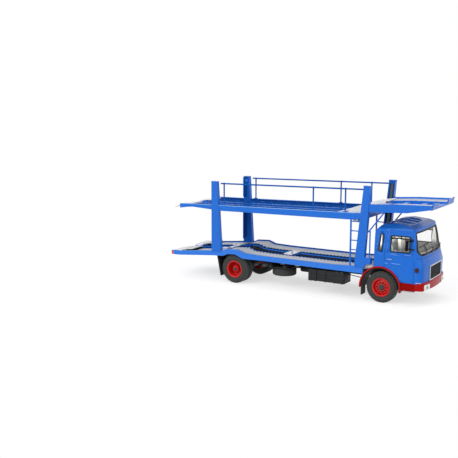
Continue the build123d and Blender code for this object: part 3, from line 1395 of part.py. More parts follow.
ram_half_length = 1.2
ram_inset = 0.8                # the rams' faces lie this far inside the posts' inner faces
with BuildPart() as lift_rams:
    foot_x = (front_heel + front_toe) / 2
    foot_z = front_foot(foot_x) + channel_foot + seat_gap
    head_z = post_top - channel_head
    slope = ((front_head + front_brow) / 2 - foot_x) / (post_top - front_foot(foot_x))
    ram_foot_x = foot_x + slope * channel_foot
    ram_head_x = foot_x + slope * (head_z - front_foot(foot_x))
    with BuildSketch(from_front(-post_inner - ram_inset)):
        Polygon([(ram_foot_x - ram_half_length, foot_z), (ram_foot_x + ram_half_length, foot_z),
                 (ram_head_x + ram_half_length, head_z), (ram_head_x - ram_half_length, head_z)])
    extrude(amount=post_depth - channel_wall - ram_inset)
    mirror(about=Plane.XZ)
finish(lift_rams, "lift_rams")

coupling_x = -40.0             # from the rear axle
coupling_bore = 1.1
coupling_radius = 2.6
coupling_low = 15.5
coupling_high = 20.4
drawbar_width = 4.0
drawbar_thickness = 2.0
with BuildPart() as tow_coupling:
    with BuildSketch(Plane((rear_axle_x, 0, coupling_high - drawbar_thickness))):
        with Locations(((coupling_x - rail_tail) / 2, 0)):
            Rectangle(-coupling_x - rail_tail, drawbar_width)
    extrude(amount=drawbar_thickness)
    with BuildSketch(Plane((rear_axle_x + coupling_x, 0, coupling_low))):
        Circle(coupling_radius)
    extrude(amount=coupling_high - coupling_low)
    with BuildSketch(Plane((rear_axle_x + coupling_x, 0, coupling_low))):
        Circle(coupling_bore)
    extrude(amount=coupling_high - coupling_low, mode=Mode.SUBTRACT)
finish(tow_coupling, "tow_coupling")
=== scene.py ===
"""Dresses a scale model car transporter truck: finishes for every part, and its small fittings.

Lengths are metres in the frame of the model: X forward, Y to the truck's left, Z up, floor at Z = 0.
The cab's rounding, bumper, decks and small fittings are measured in millimetres, x from the front axle,
and at() and mm() turn those into metres.
"""

import json
from math import asin, atan2, cos, pi, radians, sin

import bmesh
import bpy
from mathutils import Matrix, Vector
from mathutils.bvhtree import BVHTree

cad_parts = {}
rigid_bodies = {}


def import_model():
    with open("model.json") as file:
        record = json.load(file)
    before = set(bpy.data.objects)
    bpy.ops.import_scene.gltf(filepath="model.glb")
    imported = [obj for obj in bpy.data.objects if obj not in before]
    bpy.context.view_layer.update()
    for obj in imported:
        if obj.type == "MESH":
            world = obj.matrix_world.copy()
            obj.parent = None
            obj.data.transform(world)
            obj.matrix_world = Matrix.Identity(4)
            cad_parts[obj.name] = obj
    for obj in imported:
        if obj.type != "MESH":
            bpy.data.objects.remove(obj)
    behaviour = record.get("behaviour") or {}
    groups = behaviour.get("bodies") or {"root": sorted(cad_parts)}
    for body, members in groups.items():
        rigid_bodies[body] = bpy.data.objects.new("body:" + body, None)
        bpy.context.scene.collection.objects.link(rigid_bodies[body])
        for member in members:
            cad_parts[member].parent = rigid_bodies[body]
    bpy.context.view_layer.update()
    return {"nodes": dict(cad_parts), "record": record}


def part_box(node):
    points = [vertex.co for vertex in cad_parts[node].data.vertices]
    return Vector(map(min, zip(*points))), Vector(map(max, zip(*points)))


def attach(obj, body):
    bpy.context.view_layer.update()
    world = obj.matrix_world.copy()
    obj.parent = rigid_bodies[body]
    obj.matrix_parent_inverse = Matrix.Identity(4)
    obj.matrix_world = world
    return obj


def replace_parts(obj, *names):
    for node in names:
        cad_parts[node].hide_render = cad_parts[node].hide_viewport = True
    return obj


for leftover in list(bpy.data.objects):
    bpy.data.objects.remove(leftover)

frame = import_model()
nodes = frame["nodes"]

bl_info = {
    "name": "Car Transporter Model",
    "version": (1, 0, 0),
    "blender": (4, 5, 0),
    "location": "3D View > Sidebar > Transporter",
    "description": "Finishes and small fittings of a scale model car transporter truck",
    "category": "Object",
}

TRUCK = "truck"
FRONT_WHEELS = "front_wheel_set"
REAR_WHEELS = "rear_wheel_set"
SMOOTH_ANGLE = radians(35)
MM = 0.001


# ---- places read from the frame
def low(node):
    """Lowest corner of a CAD node."""
    return Vector(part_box(node)[0])


def high(node):
    """Highest corner of a CAD node."""
    return Vector(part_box(node)[1])


def middle(node):
    """Middle of a CAD node's box."""
    return (low(node) + high(node)) / 2


front_axle = middle("front_tyres")
rear_axle = middle("rear_tyres")
tyre_radius = high("front_tyres").z - front_axle.z
half_track = high("front_tyres").y
cab_side = high("cab_shell").y


def at(x, y, z):
    """Point given in millimetres, x forward of the front axle."""
    return Vector((front_axle.x + x * MM, y * MM, z * MM))


def mm(*lengths):
    """Metres of lengths given in millimetres."""
    return [length * MM for length in lengths]


def surface(node):
    """Function that gives the height of a CAD node's top at x and y, or None beside it."""
    mesh = nodes[node].data
    tree = BVHTree.FromPolygons([v.co for v in mesh.vertices], [p.vertices for p in mesh.polygons])

    def height(x, y):
        hit = tree.ray_cast(Vector((x, y, 1.0)), Vector((0.0, 0.0, -1.0)))[0]
        return None if hit is None else hit.z

    return height


def between(value, start, end):
    """Smooth step from 0 at start to 1 at end."""
    part = min(1.0, max(0.0, (value - start) / (end - start)))
    return part * part * (3.0 - 2.0 * part)


def follow(value, rows):
    """Straight-line interpolation in rows of (value, result)."""
    for (start, first), (end, second) in zip(rows, rows[1:]):
        if value <= end:
            part = max(0.0, (value - start) / (end - start))
            return first + part * (second - first)
    return rows[-1][1]


# ---- sizes and colours a user may change
def colour_property(name, description, default):
    """Colour that a user may change."""
    return bpy.props.FloatVectorProperty(name=name, description=description, subtype="COLOR", size=3,
                                         default=default)


def length_property(name, description, default):
    """Length in metres that a user may change."""
    return bpy.props.FloatProperty(name=name, description=description, unit="LENGTH", default=default)


class TransporterColours(bpy.types.PropertyGroup):
    """Base colours of the finishes."""

    blue: colour_property("Blue", "Paint of the cab, posts and decks", (0.013, 0.150, 0.640))
    red: colour_property("Red", "Paint of the bumper, skirts and wings", (0.400, 0.003, 0.003))
    wheel_red: colour_property("Wheel red", "Paint of the wheels", (0.600, 0.012, 0.010))
    track: colour_property("Track grey", "Wheel tracks, ramps and flaps", (0.490, 0.510, 0.550))
    chassis: colour_property("Chassis black", "Moulded chassis and tanks", (0.014, 0.015, 0.016))
    tyre: colour_property("Tyre", "Rubber of the tyres", (0.040, 0.042, 0.040))
    interior: colour_property("Interior", "Mouldings inside the cab", (0.80, 0.77, 0.70))
    silver: colour_property("Silver", "Bright trim", (0.72, 0.73, 0.75))


class TransporterWheels(bpy.types.PropertyGroup):
    """Sizes of the tyres and the wheel fittings."""

    front_width: length_property("Front tyre width", "Across one front tyre", 0.0066)
    twin_width: length_property("Twin tyre width", "Across one tyre of a rear pair", 0.0058)
    twin_gap: length_property("Twin gap", "Between the tyres of a rear pair", 0.0008)
    rim_radius: length_property("Rim radius", "Where the tyres sit on the rims", 0.0070)
    tread_depth: length_property("Tread depth", "Height of the tread blocks", 0.0005)
    tread_blocks: bpy.props.IntProperty(
        name="Tread blocks", description="Blocks in one row round a tyre", default=44)
    tread_rows: bpy.props.IntProperty(
        name="Tread rows", description="Rows of blocks across a tyre", default=4)
    tread_skew: bpy.props.FloatProperty(
        name="Tread skew", description="Turn of the blocks", subtype="ANGLE", unit="ROTATION",
        default=radians(24))
    hole_circle: length_property(
        "Hole circle", "Radius of the ring of round holes in the front wheels", 0.0037)
    hole_radius: length_property("Hole radius", "Of one round hole", 0.00062)
    valve_circle: length_property("Outer circle", "Radius of the ring of small marks near the rim", 0.0058)
    hub_radius: length_property("Hub radius", "Of the dark caps on the front hubs", 0.00215)


class TransporterTrim(bpy.types.PropertyGroup):
    """Sizes of the cab's front and the small fittings."""

    screen_wrap: length_property(
        "Screen wrap", "How far the screen's lower corners run round the cab's sides", 0.0024)
    bumper_front: length_property("Bumper front", "Of the bumper's face, forward of the front axle", 0.0354)
    bumper_low: length_property("Bumper low", "Height of the bumper's lower edge", 0.0128)
    bumper_high: length_property("Bumper high", "Height of the bumper's upper edge", 0.0191)
    bumper_radius: length_property("Bumper curve", "Radius of the bumper's front in plan", 0.1516)
    lamp_out: length_property("Lamp place", "From the middle of the bumper to a headlamp", 0.0196)
    wire: length_property("Grille wire", "Thickness of the grille's upright wires", 0.00016)
    wire_pitch: length_property("Grille pitch", "Between the grille's upright wires", 0.0007)


class TransporterStage(bpy.types.PropertyGroup):
    """Camera, light and floor."""

    camera_from_axle: bpy.props.FloatVectorProperty(
        name="Camera place", description="From the ground under the front axle", subtype="TRANSLATION",
        unit="LENGTH", size=3, default=(0.21913, -0.61342, 0.15655))
    camera_turn: bpy.props.FloatVectorProperty(
        name="Camera turn", description="Pitch, roll and yaw of the camera", subtype="EULER",
        unit="ROTATION", size=3, default=(radians(80.93), 0.0, radians(31.36)))
    lens: bpy.props.FloatProperty(
        name="Lens", description="Focal length in millimetres on a 36 mm wide sensor", default=63.66)
    sky: bpy.props.FloatProperty(
        name="Sky", description="Strength of the even light from all round", default=0.50)
    cab_light: bpy.props.FloatProperty(
        name="Cab light", description="Power of the small lamp inside the cab, in watts", default=0.022)
    floor_glow: bpy.props.FloatProperty(
        name="Floor glow", description="How much of the floor's white is its own", default=0.60)


# ---- shapes
STRIP_STAGGER = 0.03  # every second box of a strip is wider, so that no faces coincide
STRIP_LAP = 0.4  # how far the boxes of a strip reach into each other
WELD = 1e-7  # corners nearer than this become one


def round_edges(bm, edges, radius, segments=2):
    """Rounds edges."""
    bmesh.ops.bevel(bm, geom=edges, offset=radius, offset_type="OFFSET", segments=segments, profile=0.5,
                    affect="EDGES", material=-1, clamp_overlap=True)


def cube(bm, centre, size, turn=None, edge=0.0):
    """Adds a box, its edges rounded by edge."""
    place = Matrix.Translation(centre)
    if turn is not None:
        place = place @ turn
    made = bmesh.ops.create_cube(bm, size=1.0, matrix=place @ Matrix.Diagonal((*size, 1.0)))
    if edge:
        round_edges(bm, list({e for v in made["verts"] for e in v.link_edges}), edge)


def block(bm, xs, ys, zs, edge=0.0):
    """Adds a box between two x (millimetres forward of the front axle), two y and two z."""
    start = at(xs[0], ys[0], zs[0])
    end = at(xs[1], ys[1], zs[1])
    cube(bm, (start + end) / 2, end - start, edge=edge * MM)


def rod(bm, start, end, radius, tip=None, segments=16):
    """Adds a round bar between two points, tapering to tip where that is given."""
    start = Vector(start)
    along = Vector(end) - start
    place = Matrix.Translation(start + along / 2) @ along.to_track_quat("Z", "Y").to_matrix().to_4x4()
    bmesh.ops.create_cone(bm, cap_ends=True, cap_tris=False, segments=segments, radius1=radius,
                          radius2=radius if tip is None else tip, depth=along.length, matrix=place)


def strip(bm, path, y, width, height, lift=0.0):
    """Adds boxes that follow a path of (x, z) millimetres, lifted by lift, at y on both sides."""
    for row, ((x0, z0), (x1, z1)) in enumerate(zip(path, path[1:])):
        across = width + STRIP_STAGGER * (row % 2)
        for side in ((-1, 1) if y else (1,)):
            start = at(x0, side * y, z0 + lift)
            end = at(x1, side * y, z1 + lift)
            tilt = Matrix.Rotation(-atan2(end.z - start.z, end.x - start.x), 4, "Y")
            size = ((end - start).length + STRIP_LAP * MM, across * MM, height * MM)
            cube(bm, (start + end) / 2, size, turn=tilt)


def turned(bm, outline, centre, closed=True, steps=96):
    """Adds what an outline of (y, radius) points makes when it turns once about the axle at centre."""
    corners = [bm.verts.new((centre.x, centre.y + y, centre.z + radius)) for y, radius in outline]
    ends = corners[1:] + corners[:1] if closed else corners[1:]
    edges = [bm.edges.new(pair) for pair in zip(corners, ends)]
    bmesh.ops.spin(bm, geom=corners + edges, cent=centre, axis=(0.0, 1.0, 0.0), dvec=(0.0, 0.0, 0.0),
                   angle=2 * pi, steps=steps, use_merge=True, use_normal_flip=False, use_duplicate=False)
    bmesh.ops.remove_doubles(bm, verts=bm.verts[:], dist=WELD)


def both_sides(bm, merge=-1.0):
    """Mirrors everything so far to the other side of the truck."""
    bmesh.ops.mirror(bm, geom=bm.verts[:] + bm.edges[:] + bm.faces[:], matrix=Matrix.Identity(4),
                     merge_dist=merge, axis="Y")


def copied(node):
    """Merged copy of a CAD node's mesh."""
    bm = bmesh.new()
    bm.from_mesh(nodes[node].data)
    bmesh.ops.remove_doubles(bm, verts=bm.verts[:], dist=WELD)
    return bm


def add_object(name, data):
    """Puts a new object into the scene."""
    made = bpy.data.objects.new(name, data)
    bpy.context.scene.collection.objects.link(made)
    return made


def add_piece(name, bm, slot, finish=None, body=TRUCK, turn_out=True):
    """Makes the finished object of a bmesh, gives it its finish and lets it ride on a body."""
    if turn_out:
        bmesh.ops.recalc_face_normals(bm, faces=bm.faces[:])
    mesh = bpy.data.meshes.new(name)
    bm.to_mesh(mesh)
    bm.free()
    mesh.polygons.foreach_set("use_smooth", [True] * len(mesh.polygons))
    mesh.set_sharp_from_angle(angle=SMOOTH_ANGLE)
    made = add_object(name, mesh)
    mesh.materials.append(bpy.data.materials[f"{finish or slot}_finish"])
    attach(made, body)
    return made


def add_blocks(name, rows, slot, finish=None, mirrored=False):
    """Adds one piece made of boxes; rows hold x range, y range, z range and rounding, in millimetres."""
    bm = bmesh.new()
    for row in rows:
        block(bm, *row)
    if mirrored:
        both_sides(bm)
    return add_piece(name, bm, slot, finish)


def add_strips(name, rows, slot="blue_paint", finish=None):
    """Adds one piece made of strips; rows hold path, y, width, height and lift, in millimetres."""
    bm = bmesh.new()
    for row in rows:
        strip(bm, *row)
    return add_piece(name, bm, slot, finish)


def add_highlight(name, path, y, lift, radius=0.28):
    """Adds one piece of thin pale bars, painted highlights, that follow a path of (x, z) millimetres on both
    sides.
    """
    bm = bmesh.new()
    for (x0, z0), (x1, z1) in zip(path, path[1:]):
        for side in (-1, 1):
            rod(bm, at(x0, side * y, z0 + lift), at(x1, side * y, z1 + lift), radius * MM, segments=10)
    return add_piece(name, bm, "blue_paint", "highlight_blue")


# ---- materials
WHITE = (1.0, 1.0, 1.0, 1.0)
# Heights on the cab, in metres, between which its finishes change over
ROOF_EDGE = (0.0582, 0.0602)  # painted shade above
LINING_EDGE = (0.0415, 0.0450)  # painted light on the cab's inner faces above, painted shade below
TRIM_EDGE = (0.0365, 0.0455)  # painted shade on the trim below, its own pale colour above
# How dark the painted shade on the cab's roof is, as a share of the paint
ROOF_SHADE = 0.62


def add_node(tree, kind, links=(), options=(), **values):
    """Adds a node; options are its own settings, values and links (input, output socket) its inputs."""
    node = tree.nodes.new(kind)
    for name, value in dict(options).items():
        setattr(node, name, value)
    for name, value in values.items():
        node.inputs[name.replace("_", " ")].default_value = value
    for name, output in links:
        tree.links.new(output, node.inputs[name])
    return node


class Finish:
    """One node material, built up round its main shader on the object's own coordinates."""

    def __init__(self, name, colour, **sockets):
        material = bpy.data.materials.new(f"{name}_finish")
        material.use_nodes = True
        material.diffuse_color = (*colour, 1.0)
        self.tree = material.node_tree
        self.shader = self.tree.nodes["Principled BSDF"]
        self.place = self.add("ShaderNodeTexCoord").outputs["Object"]
        self.colour = colour
        for socket, value in sockets.items():
            self.shader.inputs[socket.replace("_", " ")].default_value = value

    def add(self, kind, links=(), options=(), **values):
        """Adds a node to the material."""
        return add_node(self.tree, kind, links, options, **values)

    def pattern(self, kind, output, options=(), **values):
        """One of the textures, on the object's own coordinates."""
        return self.add(f"ShaderNodeTex{kind}", [("Vector", self.place)], options, **values).outputs[output]

    def noise(self, size, detail=3.0):
        """Soft cloudy pattern whose patches measure about size."""
        return self.pattern("Noise", "Fac", Scale=1.0 / size, Detail=detail)

    def cells(self, size):
        """Distance to the nearest of scattered points about size apart."""
        return self.pattern("Voronoi", "Distance", Scale=1.0 / size)

    def stripes(self, size, axis):
        """Soft stripes across one axis, size apart."""
        return self.pattern("Wave", "Fac", {"bands_direction": axis}, Scale=pi / (10.0 * size))

    def between(self, factor, start, end, to_min, to_max):
        """Maps a pattern's start to end onto to_min to to_max."""
        return self.add("ShaderNodeMapRange", [("Value", factor)], From_Min=start, From_Max=end,
                        To_Min=to_min, To_Max=to_max).outputs["Result"]

    def above(self, edge):
        """Runs from 0 to 1 between the two heights of edge."""
        split = self.add("ShaderNodeSeparateXYZ", [("Vector", self.place)])
        return self.between(split.outputs["Z"], *edge, 0.0, 1.0)

    def facing(self, centre):
        """0 where the surface faces away from centre and 1 where it faces it."""
        normal = self.add("ShaderNodeTexCoord").outputs["Normal"]
        kind = "ShaderNodeVectorMath"
        away = self.add(kind, [(0, self.place)], {"operation": "SUBTRACT"})
        away.inputs[1].default_value = centre
        unit = self.add(kind, [(0, away.outputs["Vector"])], {"operation": "NORMALIZE"})
        dot = self.add(kind, [(0, unit.outputs["Vector"]), (1, normal)], {"operation": "DOT_PRODUCT"})
        return self.between(dot.outputs["Value"], 0.0, -0.05, 0.0, 1.0)

    def mix(self, factor, first, second):
        """Blends two colours by a pattern."""
        node = self.add("ShaderNodeMix", [("Factor", factor)], {"data_type": "RGBA"})
        for socket, value in ((node.inputs[6], first), (node.inputs[7], second)):
            if isinstance(value, bpy.types.NodeSocket):
                self.tree.links.new(value, socket)
            else:
                socket.default_value = (*value, 1.0)
        return node.outputs[2]

    def shade(self, amount):
        """The finish's own colour, made lighter or darker."""
        return tuple(min(1.0, part * amount) for part in self.colour)

    def clouds(self, pattern, darker, lighter):
        """The finish's own colour between a darker and a lighter shade, by a pattern."""
        return self.mix(pattern, self.shade(darker), self.shade(lighter))

    def paint(self, output):
        """Uses a colour output as the surface's colour."""
        self.tree.links.new(output, self.shader.inputs["Base Color"])

    def gloss(self, pattern, smoothest, dullest, start=0.3):
        """Sets the surface's roughness between two values by a pattern."""
        self.tree.links.new(self.between(pattern, start, 0.7, smoothest, dullest),
                            self.shader.inputs["Roughness"])

    def relief(self, *layers):
        """Stacks bumps, each a pattern and the depth that it stands for."""
        normal = None
        for pattern, depth in layers:
            links = [("Height", pattern)] + ([("Normal", normal)] if normal else [])
            normal = self.add("ShaderNodeBump", links, Strength=1.0, Distance=depth).outputs["Normal"]
        self.tree.links.new(normal, self.shader.inputs["Normal"])


def lacquer(name, colour, coat=0.18, dullest=0.30, shine=0.34, lining_shade_and_light=None):
    """Sprayed gloss paint over metal, with faint clouds and orange peel; on a cab also painted shade on its
    roof, and painted shade low and painted light high on its inner faces.
    """
    look = Finish(name, colour, Coat_Weight=coat, Coat_Roughness=0.05, Specular_IOR_Level=shine)
    paint = look.clouds(look.noise(0.03), 0.96, 1.04)
    if lining_shade_and_light:
        # Painted shade on the roof; on the cab's inner faces, painted shade below and painted light above
        paint = look.mix(look.above(ROOF_EDGE), paint, look.shade(ROOF_SHADE))
        inner = look.mix(look.above(LINING_EDGE), *lining_shade_and_light)
        paint = look.mix(look.facing(middle("cab_shell")), paint, inner)
    look.paint(paint)
    look.gloss(look.noise(0.006, 4.0), 0.18, dullest)
    look.relief((look.noise(0.0016, 2.0), 0.000006))


def track_paint(name, colour):
    """Grey paint over grip dimples on the wheel tracks."""
    look = Finish(name, colour, Specular_IOR_Level=0.3)
    dimples = look.between(look.cells(0.00085), 0.08, 0.42, 0.0, 1.0)
    clouds = look.clouds(look.noise(0.012, 4.0), 0.92, 1.08)
    look.paint(look.mix(dimples, look.shade(0.84), clouds))
    look.gloss(look.noise(0.004), 0.36, 0.55)
    look.relief((dimples, 0.00005), (look.noise(0.0008), 0.00001))


def moulding(name, colour, dull=0.62, shine=0.25):
    """Matt moulded plastic with a fine grain."""
    look = Finish(name, colour, Specular_IOR_Level=shine)
    look.paint(look.clouds(look.noise(0.008, 5.0), 0.80, 1.30))
    look.gloss(look.noise(0.003), dull - 0.12, dull + 0.10)
    look.relief((look.noise(0.0005, 4.0), 0.000016))


def trim(name, floor_shade, colour):
    """Cab trim, with painted shade near the floor and pale above the seats."""
    look = Finish(name, colour, Specular_IOR_Level=0.2)
    cloth = look.clouds(look.noise(0.0012, 5.0), 0.86, 1.10)
    look.paint(look.mix(look.above(TRIM_EDGE), floor_shade, cloth))
    look.gloss(look.noise(0.003), 0.55, 0.75)
    look.relief((look.noise(0.0007, 4.0), 0.00003))


def rubber(name, colour):
    """Tyre rubber with a grey bloom."""
    look = Finish(name, colour, Specular_IOR_Level=0.22)
    bloom = look.clouds(look.noise(0.004, 5.0), 0.86, 1.18)
    patches = look.between(look.noise(0.0009, 5.0), 0.45, 0.75, 0.0, 0.5)
    look.paint(look.mix(patches, bloom, look.shade(1.35)))
    look.gloss(look.noise(0.002), 0.60, 0.80)
    look.relief((look.noise(0.00035, 4.0), 0.000014))


def bright(name, colour, dull=0.2, metal=0.85):
    """Silvered trim."""
    look = Finish(name, colour, Metallic=metal)
    look.paint(look.clouds(look.noise(0.004), 0.92, 1.05))
    look.gloss(look.noise(0.002), dull - 0.06, dull + 0.10)
    look.relief((look.noise(0.0007), 0.000006))


def lens(name, colour, coat=0.3):
    """Coloured lamp plastic with fine upright flutes."""
    look = Finish(name, colour, Coat_Weight=coat, Coat_Roughness=0.05, Specular_IOR_Level=0.3)
    flutes = look.stripes(0.00045, "Y")
    look.paint(look.clouds(flutes, 0.93, 1.10))
    look.gloss(look.noise(0.002), 0.12, 0.22)
    look.relief((flutes, 0.00003))


def window(name, colour):
    """Thin clear plastic with faint smears."""
    look = Finish(name, colour, Alpha=0.06, Coat_Weight=0.6, Coat_Roughness=0.02, Specular_IOR_Level=0.6)
    look.paint(look.clouds(look.noise(0.01), 0.9, 1.0))
    look.gloss(look.noise(0.005, 5.0), 0.03, 0.08, start=0.4)
    look.relief((look.noise(0.006, 2.0), 0.000008))


def make_finishes(colours):
    """Makes every finish under its slot's name, and those of small fittings."""
    lacquer("blue_paint", colours.blue, coat=0.08, shine=0.20)
    # The cab: painted shade on its roof, and painted shade and light on its inner faces
    lacquer("cab_paint", colours.blue, coat=0.06, shine=0.14,
            lining_shade_and_light=((0.160, 0.161, 0.150), (0.85, 0.85, 0.83)))
    # A lighter copy of the blue for the lower deck's frame and curbs: painted light
    lacquer("lit_beam_blue", (0.032, 0.195, 0.740), coat=0.08, shine=0.20)
    # Darker copies of the blue without shine, for parts that lie in shade: painted shade
    for name, colour in (("mid_shade_blue", (0.012, 0.100, 0.420)), ("shaded_blue", (0.006, 0.045, 0.220)),
                         ("deep_shade_blue", (0.002, 0.014, 0.070))):
        lacquer(name, colour, coat=0.0, dullest=0.6, shine=0.0)
    # Pale blue for thin bars that are painted highlights on edges
    lacquer("highlight_blue", (0.20, 0.42, 0.84), dullest=0.25)
    lacquer("red_paint", colours.red, coat=0.04, shine=0.10)
    # A darker copy of the red: painted shade on the skirts behind the bumper; also the bumper's joints and
    # plug
    lacquer("shaded_red", [0.72 * part for part in colours.red], coat=0.0, dullest=0.5, shine=0.06)
    lacquer("wheel_red", colours.wheel_red, coat=0.08, dullest=0.36, shine=0.25)
    track_paint("track_grey", colours.track)
    moulding("flap_white", (0.78, 0.78, 0.76), dull=0.45)
    moulding("chassis_black", colours.chassis)
    moulding("gloss_black", (0.006, 0.006, 0.007), dull=0.3, shine=0.4)
    # Trim in the cab, with painted shade near the floor
    trim("cab_interior", (0.080, 0.080, 0.075), colours.interior)
    moulding("seal_rubber", (0.006, 0.006, 0.007), dull=0.5)
    moulding("line", (0.005, 0.005, 0.006), dull=0.7, shine=0.1)
    moulding("hub_grey", (0.040, 0.043, 0.043), dull=0.5)
    rubber("tyre_rubber", colours.tyre)
    # The tread blocks: the tyres' rubber made lighter where the blocks catch the light, painted light
    rubber("lit_tread_grey", (0.105, 0.108, 0.102))
    bright("silver_trim", colours.silver)
    bright("ring_grey", (0.10, 0.10, 0.10), dull=0.35, metal=0.5)
    bright("pot_grey", (0.11, 0.11, 0.11), dull=0.5, metal=0.3)
    bright("handle_grey", (0.26, 0.34, 0.50), dull=0.3, metal=0.4)
    bright("shaft_steel", (0.50, 0.50, 0.51), dull=0.34, metal=1.0)
    bright("ram_grey", (0.060, 0.075, 0.085), dull=0.4, metal=0.5)
    lens("lamp_clear", (0.90, 0.90, 0.88))
    lens("lamp_red", (0.66, 0.055, 0.016))
    lens("lamp_amber", (0.030, 0.005, 0.003), coat=0.1)
    window("clear_glass", (0.80, 0.82, 0.82))


# ---- wheels
# Wheels, in metres. Half of a tyre's outline: in from its face, below its crown
TYRE_SIDE = ((0.00150, 0.0), (0.00075, 0.00018), (0.00028, 0.00070), (0.00008, 0.00140), (0.0, 0.00215),
             (0.00006, 0.00235), (0.00004, 0.00255), (0.00020, 0.00320))
# and on from there: in from its face, above its seat on the rim
TYRE_BEAD = ((0.00040, 0.00075), (0.00038, 0.00055), (0.00040, 0.00030), (0.00048, -0.00005))
# Outline of a rim's lip: out from its edge, out from the rim's radius
RIM_LIP = ((-0.0006, -0.0009), (0.0, -0.0007), (0.00028, -0.0003), (0.00028, 0.00018), (0.0, 0.0004),
           (-0.0005, 0.0001))
# Outlines of the hub caps: out from the hub's face, out from the cap's radius
FRONT_CAP = ((-0.0002, 0.0002), (0.0002, 0.0002), (0.0003, 0.0), (0.0011, -0.0001), (0.0014, -0.0004))
REAR_CAP = ((-0.0012, 0.0), (-0.0003, 0.0), (0.0001, -0.0003))
FRONT_CAP_TOP = 0.00145  # their middles, out from the hub's face
REAR_CAP_TOP = 0.0002
REAR_CAP_RADIUS = 0.0015
TREAD_MARGIN = 0.0019  # of a tyre's width, without blocks
TREAD_FILL = (0.58, 0.80)  # how much of the space for it a block takes, round and across
# Rings on the front wheels: count, first angle, setting of the ring's radius, depth below the hub's face,
# length, radius (none: the hole radius setting), segments
HOLES = (10, 0.0, "hole_circle", 0.0007, 0.0008, None, 14)
MARKS = (5, radians(36), "valve_circle", 0.0018, 0.0016, 0.00034, 10)
LIP_BACK = 0.0004  # of the rims' lips, behind the tyres' faces
HUB_BACK = 0.0012  # of the front hubs' faces, behind the rims'
REAR_HUB_BACK = 0.0013  # of the rear ones, behind the tyres' faces at least


def tyre_outline(width, sizes):
    """Closed (y, radius) outline of a tyre's carcass, y from its middle."""
    half = width / 2
    crown = tyre_radius - sizes.tread_depth
    side = [(half - inset, crown - drop) for inset, drop in TYRE_SIDE]
    side += [(half - inset, sizes.rim_radius + rise) for inset, rise in TYRE_BEAD]
    return side + [(-y, radius) for y, radius in reversed(side)]


def add_tread(bm, centre, width, sizes):
    """Adds rows of skewed blocks round a tyre."""
    row = (width - TREAD_MARGIN) / sizes.tread_rows
    pitch = 2 * pi / sizes.tread_blocks
    size = (TREAD_FILL[0] * pitch * tyre_radius, TREAD_FILL[1] * row, 2 * sizes.tread_depth)
    for across in range(sizes.tread_rows):
        offset = (across - (sizes.tread_rows - 1) / 2) * row
        skew = Matrix.Rotation(sizes.tread_skew * (1 if across % 2 else -1), 4, "Z")
        for step in range(sizes.tread_blocks):
            turn = Matrix.Rotation((step + 0.5 * (across % 2)) * pitch, 4, "Y")
            place = (Matrix.Translation(centre) @ turn
                     @ Matrix.Translation((0.0, offset, tyre_radius - sizes.tread_depth)) @ skew)
            bmesh.ops.create_cube(bm, size=1.0, matrix=place @ Matrix.Diagonal((*size, 1.0)))


class TRANSPORTER_OT_tyres(bpy.types.Operator):
    """Make the treaded tyres of both axles"""

    bl_idname = "transporter.tyres"
    bl_label = "Tyres"

    def execute(self, context):
        sizes = context.scene.transporter_wheels
        twin_step = sizes.twin_width + sizes.twin_gap
        twins = (half_track, half_track - twin_step)
        rows = (("front_tyres", front_axle, sizes.front_width, (half_track,), FRONT_WHEELS),
                ("rear_tyres", rear_axle, sizes.twin_width, twins, REAR_WHEELS))
        for node, axle, width, faces, body in rows:
            bm = bmesh.new()
            tread = bmesh.new()
            for face in faces:
                for side in (-1, 1):
                    centre = Vector((axle.x, side * (face - width / 2), axle.z))
                    turned(bm, tyre_outline(width, sizes), centre)
                    add_tread(tread, centre, width, sizes)
            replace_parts(add_piece(f"{node}_treaded", bm, "tyre_rubber", body=body), node)
            # The tread blocks take the lighter grey: painted light
            add_piece(f"{node}_tread", tread, "tyre_rubber", "lit_tread_grey", body)
        return {"FINISHED"}


def add_ring(bm, ring, face, sizes):
    """Adds a ring of short round bars to both front wheels."""
    count, first, circle, depth, length, radius, segments = ring
    for step in range(count):
        angle = first + step * 2 * pi / count
        for side in (-1, 1):
            out = Vector((cos(angle), 0.0, sin(angle))) * getattr(sizes, circle)
            start = front_axle + out + Vector((0.0, side * (face - depth), 0.0))
            rod(bm, start, start + Vector((0.0, side * length, 0.0)),
                radius or sizes.hole_radius, segments=segments)


def add_caps(name, face, radius, outline, top, axle, body, steps):
    """Adds the hub caps of one axle on faces at a distance from the middle."""
    points = [(face + out, radius + rise) for out, rise in outline]
    bm = bmesh.new()
    turned(bm, [(points[0][0], 0.0), *points, (face + top, 0.0)], Vector((axle.x, 0.0, axle.z)),
           closed=False, steps=steps)
    both_sides(bm)
    add_piece(name, bm, "chassis_black", "hub_grey", body)


